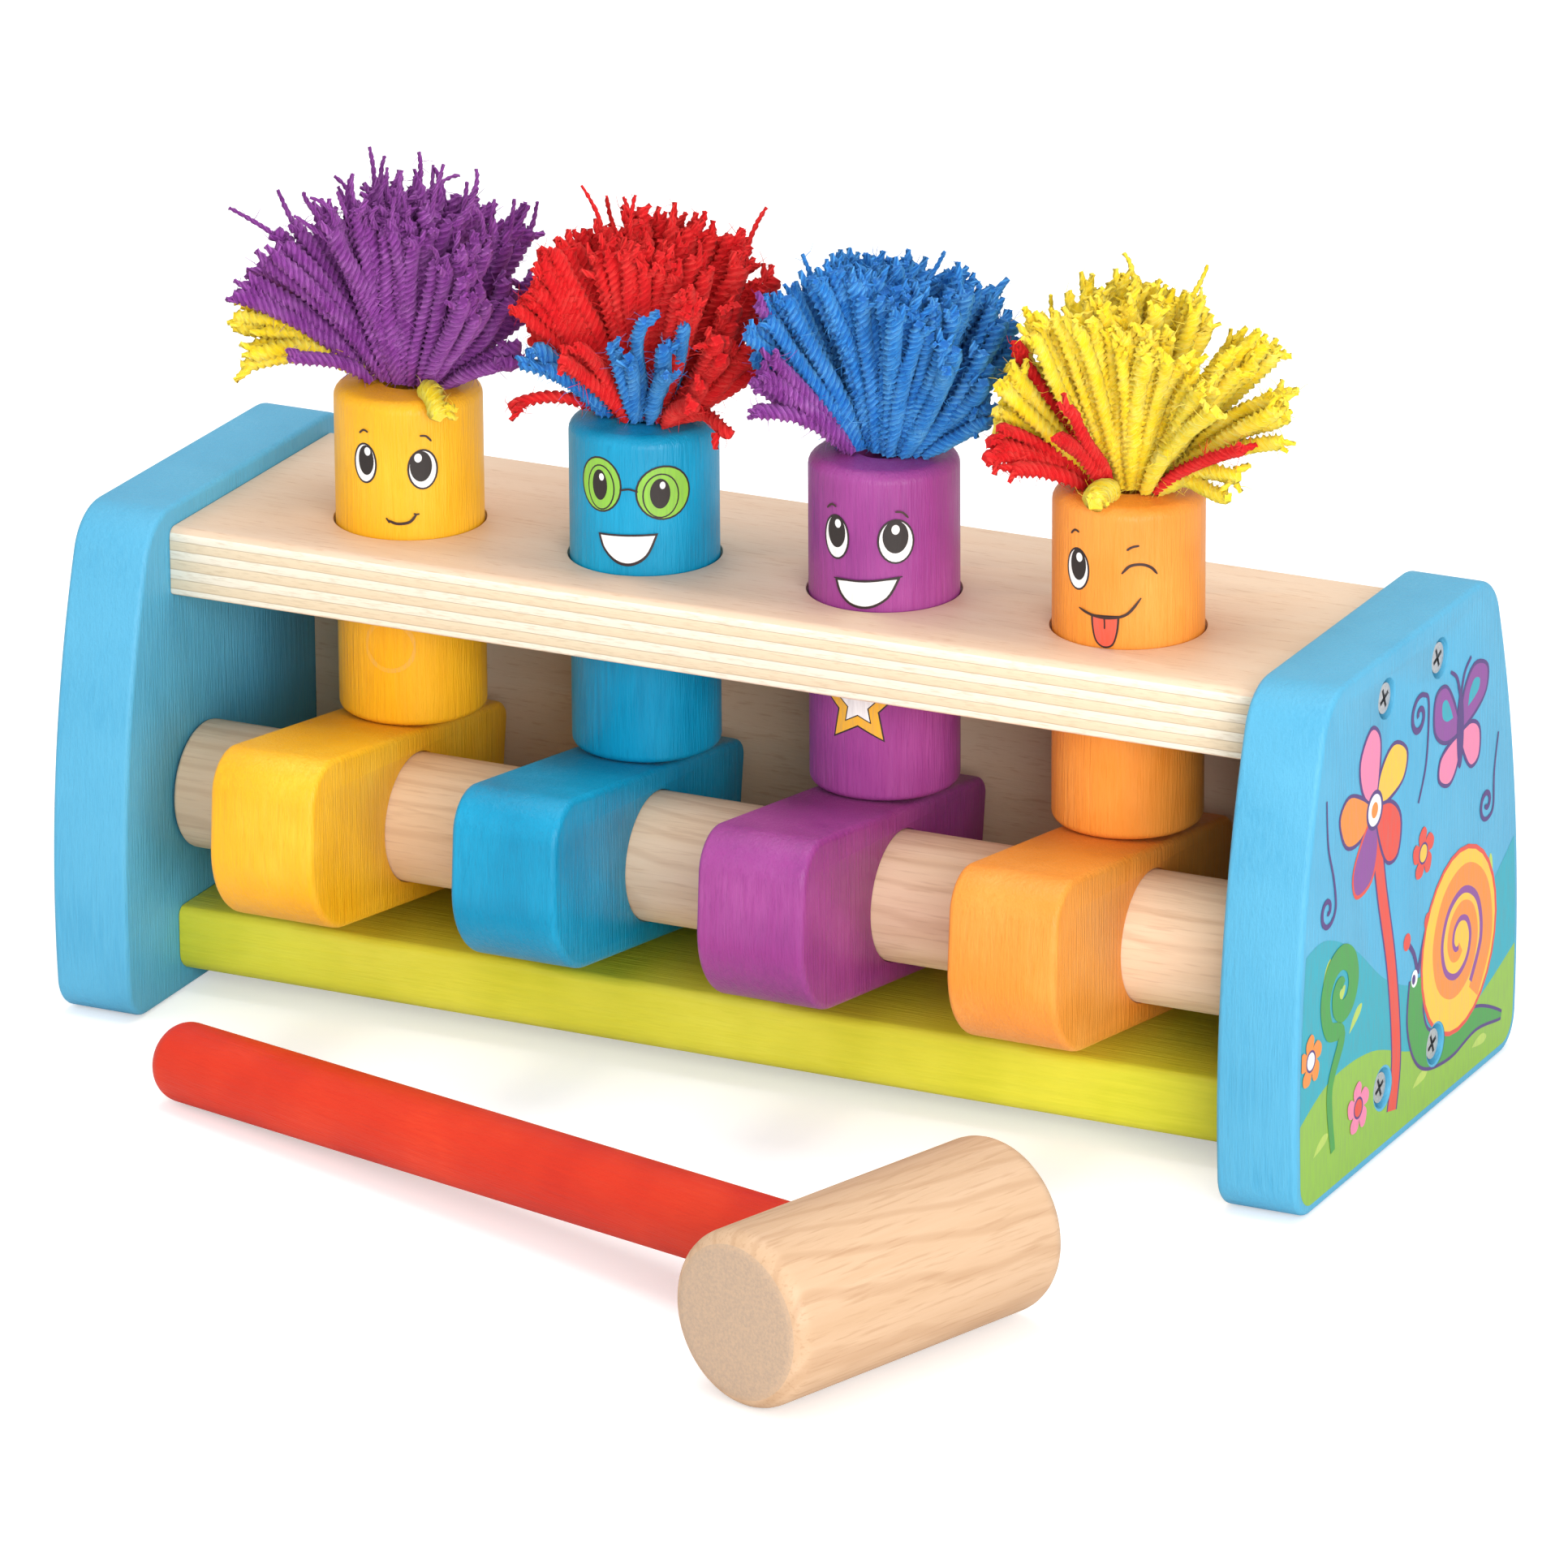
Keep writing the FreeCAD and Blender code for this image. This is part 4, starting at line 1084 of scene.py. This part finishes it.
def strandTree():
    # sweeps a lobed, twisted yarn along each guide line, roughens it, and stands loose fibres on it
    tree, given, result = newTree("yarnStrands", {
        "Plies": ("NodeSocketInt", 4), "Around": ("NodeSocketInt", 8), "Pitch": ("NodeSocketFloat", 0.0064),
        "Ply depth": ("NodeSocketFloat", 0.36), "Roughen": ("NodeSocketFloat", 0.0007),
        "Fibres": ("NodeSocketFloat", 60000.0), "Fibre length": ("NodeSocketFloat", 0.0024),
        "Seed": ("NodeSocketInt", 1), "Yarn": ("NodeSocketMaterial", None)})

    # the guide lines, twisted once for each pitch
    along = addNode(tree, "GeometryNodeSplineParameter", out="Length")
    twist = addNode(tree, "ShaderNodeMath", {0: along, 1: given["Pitch"]}, operation="DIVIDE")
    twist = addNode(tree, "ShaderNodeMath", {0: twist, 1: 2 * math.pi}, operation="MULTIPLY")
    lines = addNode(tree, "GeometryNodeMeshToCurve", {"Mesh": given["Geometry"]})
    lines = addNode(tree, "GeometryNodeSetCurveTilt", {"Curve": lines, "Tilt": twist})
    lines = addNode(tree, "GeometryNodeStoreNamedAttribute",
                    {"Geometry": lines, "Name": "runs", "Value": along}, data_type="FLOAT", domain="POINT")

    # the cross-section, a circle with a lobe for each ply
    around = addNode(tree, "GeometryNodeSplineParameter", out="Factor")
    wave = addNode(tree, "ShaderNodeMath", {0: around, 1: given["Plies"]}, operation="MULTIPLY")
    wave = addNode(tree, "ShaderNodeMath", {0: wave, 1: math.pi}, operation="MULTIPLY")
    wave = addNode(tree, "ShaderNodeMath", {0: wave}, operation="SINE")
    wave = addNode(tree, "ShaderNodeMath", {0: wave}, operation="ABSOLUTE")
    lobe = addNode(tree, "ShaderNodeMath", {0: wave, 1: 1.0}, operation="SUBTRACT")
    lobe = addNode(tree, "ShaderNodeMath", {0: lobe, 1: given["Ply depth"], 2: 1.0}, operation="MULTIPLY_ADD")
    # the groove mask, 1 in the valleys between plies, carries painted shade into the yarn's colour
    groove = addNode(tree, "ShaderNodeMath", {0: 1.0, 1: wave}, operation="SUBTRACT")
    spot = addNode(tree, "GeometryNodeInputPosition")
    scaled = addNode(tree, "ShaderNodeVectorMath", {0: spot, "Scale": lobe}, operation="SCALE")
    circle = addNode(tree, "GeometryNodeCurvePrimitiveCircle", {"Resolution": given["Around"], "Radius": 1.0})
    circle = addNode(tree, "GeometryNodeSetPosition", {"Geometry": circle, "Position": scaled})
    for name, value in (("turns", around), ("groove", groove)):
        circle = addNode(tree, "GeometryNodeStoreNamedAttribute",
                         {"Geometry": circle, "Name": name, "Value": value},
                         data_type="FLOAT", domain="POINT")

    # the yarn, roughened, with a chart of its turns and its run for the material
    thick = addNode(tree, "GeometryNodeInputNamedAttribute", {"Name": "thick"}, data_type="FLOAT")
    yarn = addNode(tree, "GeometryNodeCurveToMesh", {"Curve": lines, "Profile Curve": circle, "Scale": thick,
                                                    "Fill Caps": True})
    rough = addNode(tree, "ShaderNodeTexNoise", {"Vector": spot, "Scale": 900.0, "Detail": 2.0})
    push = addNode(tree, "ShaderNodeMath", {0: rough, 1: 0.5}, operation="SUBTRACT")
    push = addNode(tree, "ShaderNodeMath", {0: push, 1: given["Roughen"]}, operation="MULTIPLY")
    outward = addNode(tree, "GeometryNodeInputNormal")
    push = addNode(tree, "ShaderNodeVectorMath", {0: outward, "Scale": push}, operation="SCALE")
    yarn = addNode(tree, "GeometryNodeSetPosition", {"Geometry": yarn, "Offset": push})
    turns = addNode(tree, "GeometryNodeInputNamedAttribute", {"Name": "turns"}, data_type="FLOAT")
    runs = addNode(tree, "GeometryNodeInputNamedAttribute", {"Name": "runs"}, data_type="FLOAT")
    runs = addNode(tree, "ShaderNodeMath", {0: runs, 1: 1000 / 12}, operation="MULTIPLY")  # once in 12 mm
    chart = addNode(tree, "ShaderNodeCombineXYZ", {"X": turns, "Y": runs})
    yarn = addNode(tree, "GeometryNodeStoreNamedAttribute",
                   {"Geometry": yarn, "Name": "yarn", "Value": chart}, data_type="FLOAT2", domain="CORNER")

    # loose fibres, each a thin bowed cone, leaning at random
    roots = addNode(tree, "GeometryNodeDistributePointsOnFaces", {"Mesh": yarn, "Density": given["Fibres"],
                                                                 "Seed": given["Seed"]})
    lean = addNode(tree, "FunctionNodeRandomValue", {0: (-1.1, -1.1, 0.0), 1: (1.1, 1.1, 6.28),
                                                    "Seed": given["Seed"]}, data_type="FLOAT_VECTOR")
    stand = addNode(tree, "FunctionNodeRotateRotation", {"Rotation": roots.node.outputs["Rotation"],
                                                        "Rotate By": lean}, rotation_space="LOCAL")
    fibre = addNode(tree, "GeometryNodeMeshCone", {"Vertices": 3, "Side Segments": 2, "Radius Top": 0.00004,
                                                  "Radius Bottom": 0.00008, "Depth": given["Fibre length"]},
                    fill_type="NONE")
    bow = addNode(tree, "ShaderNodeSeparateXYZ", {"Vector": spot}, "Z")
    bow = addNode(tree, "ShaderNodeMath", {0: bow, 1: 2.0}, operation="POWER")
    bow = addNode(tree, "ShaderNodeMath", {0: bow, 1: 300.0}, operation="MULTIPLY")
    bow = addNode(tree, "ShaderNodeCombineXYZ", {"X": bow})
    fibre = addNode(tree, "GeometryNodeSetPosition", {"Geometry": fibre, "Offset": bow})
    size = addNode(tree, "FunctionNodeRandomValue", {2: 0.4, 3: 1.25, "Seed": 7}, 1, data_type="FLOAT")
    fuzz = addNode(tree, "GeometryNodeInstanceOnPoints", {"Points": roots, "Instance": fibre,
                                                         "Rotation": stand, "Scale": size})
    both = addNode(tree, "GeometryNodeJoinGeometry", {0: [fuzz, yarn]})
    real = addNode(tree, "GeometryNodeRealizeInstances", {0: both})
    smooth = addNode(tree, "GeometryNodeSetShadeSmooth", {0: real})
    done = addNode(tree, "GeometryNodeSetMaterial", {"Geometry": smooth, "Material": given["Yarn"]})
    tree.links.new(done, result.inputs[0])
    return tree


def bend(start, lead, end, steps):
    # quadratic line from start to end that sets off towards lead
    shares = [i / steps for i in range(steps + 1)]
    return [start * (1 - t) ** 2 + lead * 2 * t * (1 - t) + end * t * t for t in shares]


def keepApart(point, left, right):
    # neighbouring tufts press on each other, so strands turn up along the gap instead of crossing it
    if (right if point.x > 0 else left):
        limit = hair["sideLimit"]
        pressed = limit * math.tanh(1.2 * abs(point.x) / limit)
        return Vector((math.copysign(pressed, point.x), point.y, point.z))
    return point


def addGuide(guides, points, thick, shade):
    # guides: lists of points, edges, thicknesses and shades in millimetres
    first = len(guides["points"])
    guides["points"] += points
    guides["edges"] += [(first + i, first + i + 1) for i in range(len(points) - 1)]
    guides["thick"] += thick
    guides["shade"] += [shade] * len(points)


def frayedEnd(guides, rng, tip, way, left, right, curled):
    # the plies come apart at the cut end, now and then one hangs on as a thin curl
    for turn in range(2):
        off = Vector([rng.uniform(-1, 1) for _ in range(3)])
        long = curled and turn == 0
        length = rng.uniform(6, 10) if long else rng.uniform(1.0, 2.6)
        aim = (way + (0.35 if long else 0.7) * off).normalized()
        start = tip - way * 1.8 + 0.7 * off
        curl = Vector([rng.uniform(-1, 1) for _ in range(3)]) * (2.5 if long else 0.5)
        steps = 12 if long else 3
        end = start + aim * (length + 1.8) - curl * 0.5
        line = bend(start, start + aim * length * 0.6 + curl, end, steps)
        thin = rng.uniform(0.62, 0.75) if long else rng.uniform(0.9, 1.2)
        widths = [thin * (1 - 0.35 * (i / steps) ** 2) for i in range(steps + 1)]
        addGuide(guides, [keepApart(p, left, right) for p in line], widths, rng.random())


def strandGuide(guides, rng, tip, left, right, stout=1.0, curled=False):
    # one yarn from the peg's top to its tip, given from the middle of the root
    away, length = tip.normalized(), tip.length
    spin = rng.uniform(0, 2 * math.pi)
    start = Vector((away.x, away.y, 0)) * hair["root"] + Vector((math.cos(spin), math.sin(spin), 0)) * 0.9
    start.z = 0.6
    lead = start + (away * 0.6 + Vector((0, 0, 0.42))) * length * 0.42
    steps = max(8, round(length / hair["ringEvery"]))
    line = bend(start, lead, tip, steps)
    sway, phase, waves = rng.uniform(0.5, 1.5), rng.uniform(0, 6.28), rng.uniform(3.5, 7.5)
    side = away.cross(Vector((0.3, 0.2, 1))).normalized()
    side = (side * math.cos(spin) + away.cross(side) * math.sin(spin)) * sway
    line = [keepApart(p + side * math.sin(phase + waves * i / steps) * (i / steps), left, right)
            for i, p in enumerate(line)]
    swell = rng.uniform(0.9, 1.12) * hair["thick"] * stout
    widths = [swell * min(1.0, 0.55 + 2.2 * i / steps) * min(1.0, 0.74 + 0.13 * (steps - i))
              for i in range(steps + 1)]
    addGuide(guides, line, widths, rng.random())
    frayedEnd(guides, rng, line[-1], (line[-1] - line[-4]).normalized(), left, right, curled)


def lockGuides(guides, rng, tip, yarns, left, right, cling=1.0, curls=0.0, stout=1.0):
    # yarns that cling together for most of their length, side by side
    away = tip.normalized()
    side = away.cross(Vector((0.0, -0.8, 0.6))).normalized()
    depth = away.cross(side)
    spin = rng.uniform(-0.5, 0.5)
    for k in range(yarns):
        place = spin + 2 * math.pi * k / yarns
        off = side * math.cos(place) * 1.25 + depth * math.sin(place) * 0.8
        off *= hair["thick"] * cling * (yarns > 1)
        end = tip + off + away * rng.uniform(-2.4, 1.2)
        strandGuide(guides, rng, end, left, right, stout, rng.random() < curls)


def makeTuft(name, tone, x, guides, tree, body, slot, seed, *nodes):
    root = Vector((x, board["pegRow"], peg["foot"] + peg["length"]))
    mesh = bpy.data.meshes.new(name)
    mesh.from_pydata([(root + p) / 1000 for p in guides["points"]], guides["edges"], [])
    for label, scale in (("thick", 0.001), ("shade", 1.0)):
        layer = mesh.attributes.new(label, "FLOAT", "POINT")
        layer.data.foreach_set("value", [v * scale for v in guides[label]])
    mesh.materials.append(yarnFinish[tone])
    piece = bpy.data.objects.new(name, mesh)
    bpy.context.scene.collection.objects.link(piece)
    applyTree(piece, tree, yarnFinish[tone], {"Yarn": yarnFinish[tone], "Seed": seed})
    print(name, sum(len(face.vertices) - 2 for face in piece.data.polygons), "triangles")
    return dress(piece, body, slot, *nodes)


tufts = [  # accents: (yarn, tip in millimetres from the root, yarns in the lock, share of the thickness)
    {"peg": "yellow", "yarn": "purple", "curls": 0.35, "cling": 1.3, "accents": [
        ("yellow", (-37.5, -6.0, 13.8), 2, 1.0), ("yellow", (-36.0, -4.0, 10.0), 2, 1.0),
        ("yellow", (-34.5, -9.5, 4.5), 2, 1.0), ("yellow", (-33.0, -10.0, 8.0), 2, 1.0),
        ("yellow", (14.6, -15.5, -1.5), 1, 1.45), ("purple", (-18.5, -19.0, 9.0), 1, 1.0)]},
    {"peg": "blue", "yarn": "red", "curls": 0.03, "cling": 0.9, "accents": [
        ("blue", (3.4, -19.0, 20.5), 2, 1.0), ("blue", (7.5, -17.5, 27.0), 1, 0.9),
        ("blue", (17.5, -15.0, 27.0), 1, 0.9), ("blue", (13.5, -18.0, 19.0), 2, 1.0),
        ("blue", (-18.5, -17.0, 16.0), 2, 1.0), ("blue", (-14.0, -17.5, 14.5), 1, 1.0),
        ("red", (31.5, -9.0, 1.6), 1, 0.85), ("red", (-27.5, -14.0, 2.6), 1, 0.85),
        ("red", (22.0, -17.0, 12.0), 2, 1.0), ("red", (-6.0, -20.0, 19.0), 2, 1.0)]},
    {"peg": "purple", "yarn": "blue", "curls": 0.05, "cling": 1.5, "accents": [
        ("purple", (-22.0, -15.5, 33.0), 1, 0.8), ("purple", (-21.5, -19.0, 18.5), 2, 1.0),
        ("purple", (-18.5, -21.0, 15.0), 2, 1.0), ("purple", (-17.0, -20.0, 21.5), 2, 1.0)]},
    {"peg": "orange", "yarn": "yellow", "curls": 0.04, "cling": 1.3, "accents": [
        ("red", (-26.0, -19.5, 9.5), 2, 1.0), ("red", (-25.0, -17.5, 12.5), 2, 0.9),
        ("red", (-18.5, -21.0, 7.0), 1, 1.0), ("red", (-4.5, -22.0, 19.5), 2, 0.9),
        ("red", (33.0, -13.0, 16.0), 1, 0.85), ("red", (-26.5, -6.0, 29.5), 1, 0.8),
        ("yellow", (-1.0, -18.5, 0.8), 1, 1.4), ("yellow", (-29.0, -12.0, 15.0), 2, 1.0),
        ("yellow", (28.0, -9.0, 7.0), 2, 1.0)]},
]
goldenTurn = 2.39996  # spreads the locks evenly round the root


def strandTip(share, turn, rng):
    # the lowest strands lie flatter to the sides than to the front and back
    steepest = hair["frontLean"] if math.sin(turn) < 0 else hair["backLean"]
    lowest = hair["sideLean"] + (steepest - hair["sideLean"]) * abs(math.sin(turn)) ** 1.3
    low = math.sin(math.radians(lowest))
    rise = low + (1 - low) * share
    flat = math.sqrt(max(0.0, 1 - rise * rise))
    way = Vector((flat * math.cos(turn), flat * math.sin(turn), rise))
    return way * hair["reach"] * rng.uniform(0.9, 1.03)


def makeHair():
    yarnTree = strandTree()
    for index, tuft in enumerate(tufts):
        rng = random.Random(40 + index)
        left, right = index > 0, index < 3  # a neighbour on that side
        tones = dict.fromkeys([tuft["yarn"]] + [accent[0] for accent in tuft["accents"]])
        sets = {tone: {"points": [], "edges": [], "thick": [], "shade": []} for tone in tones}
        count = round(hair["yarns"] / hair["perLock"])
        for i in range(count):
            turn = i * goldenTurn + 0.3 * index + rng.uniform(-0.15, 0.15)
            tip = strandTip((i + 0.5) / count, turn, rng)
            curls = tuft["curls"] * (tip.z > 0.72 * hair["reach"])
            lockGuides(sets[tuft["yarn"]], rng, tip, hair["perLock"], left, right, tuft["cling"], curls)
        for tone, tip, yarns, stout in tuft["accents"]:
            lockGuides(sets[tone], rng, Vector(tip), yarns, left, right, stout=stout)
        for tone, guides in sets.items():
            main = tone == tuft["yarn"]
            name = f"hair_{tone}" if main else f"{tuft['peg']}_peg_{tone}_locks"
            makeTuft(name, tone, pegPlaces[index], guides, yarnTree, f"{tuft['peg']}_peg", f"{tone}_yarn",
                     index + 1, *([f"hair_{tone}"] if main else []))


makeHair()
print("hair ready")
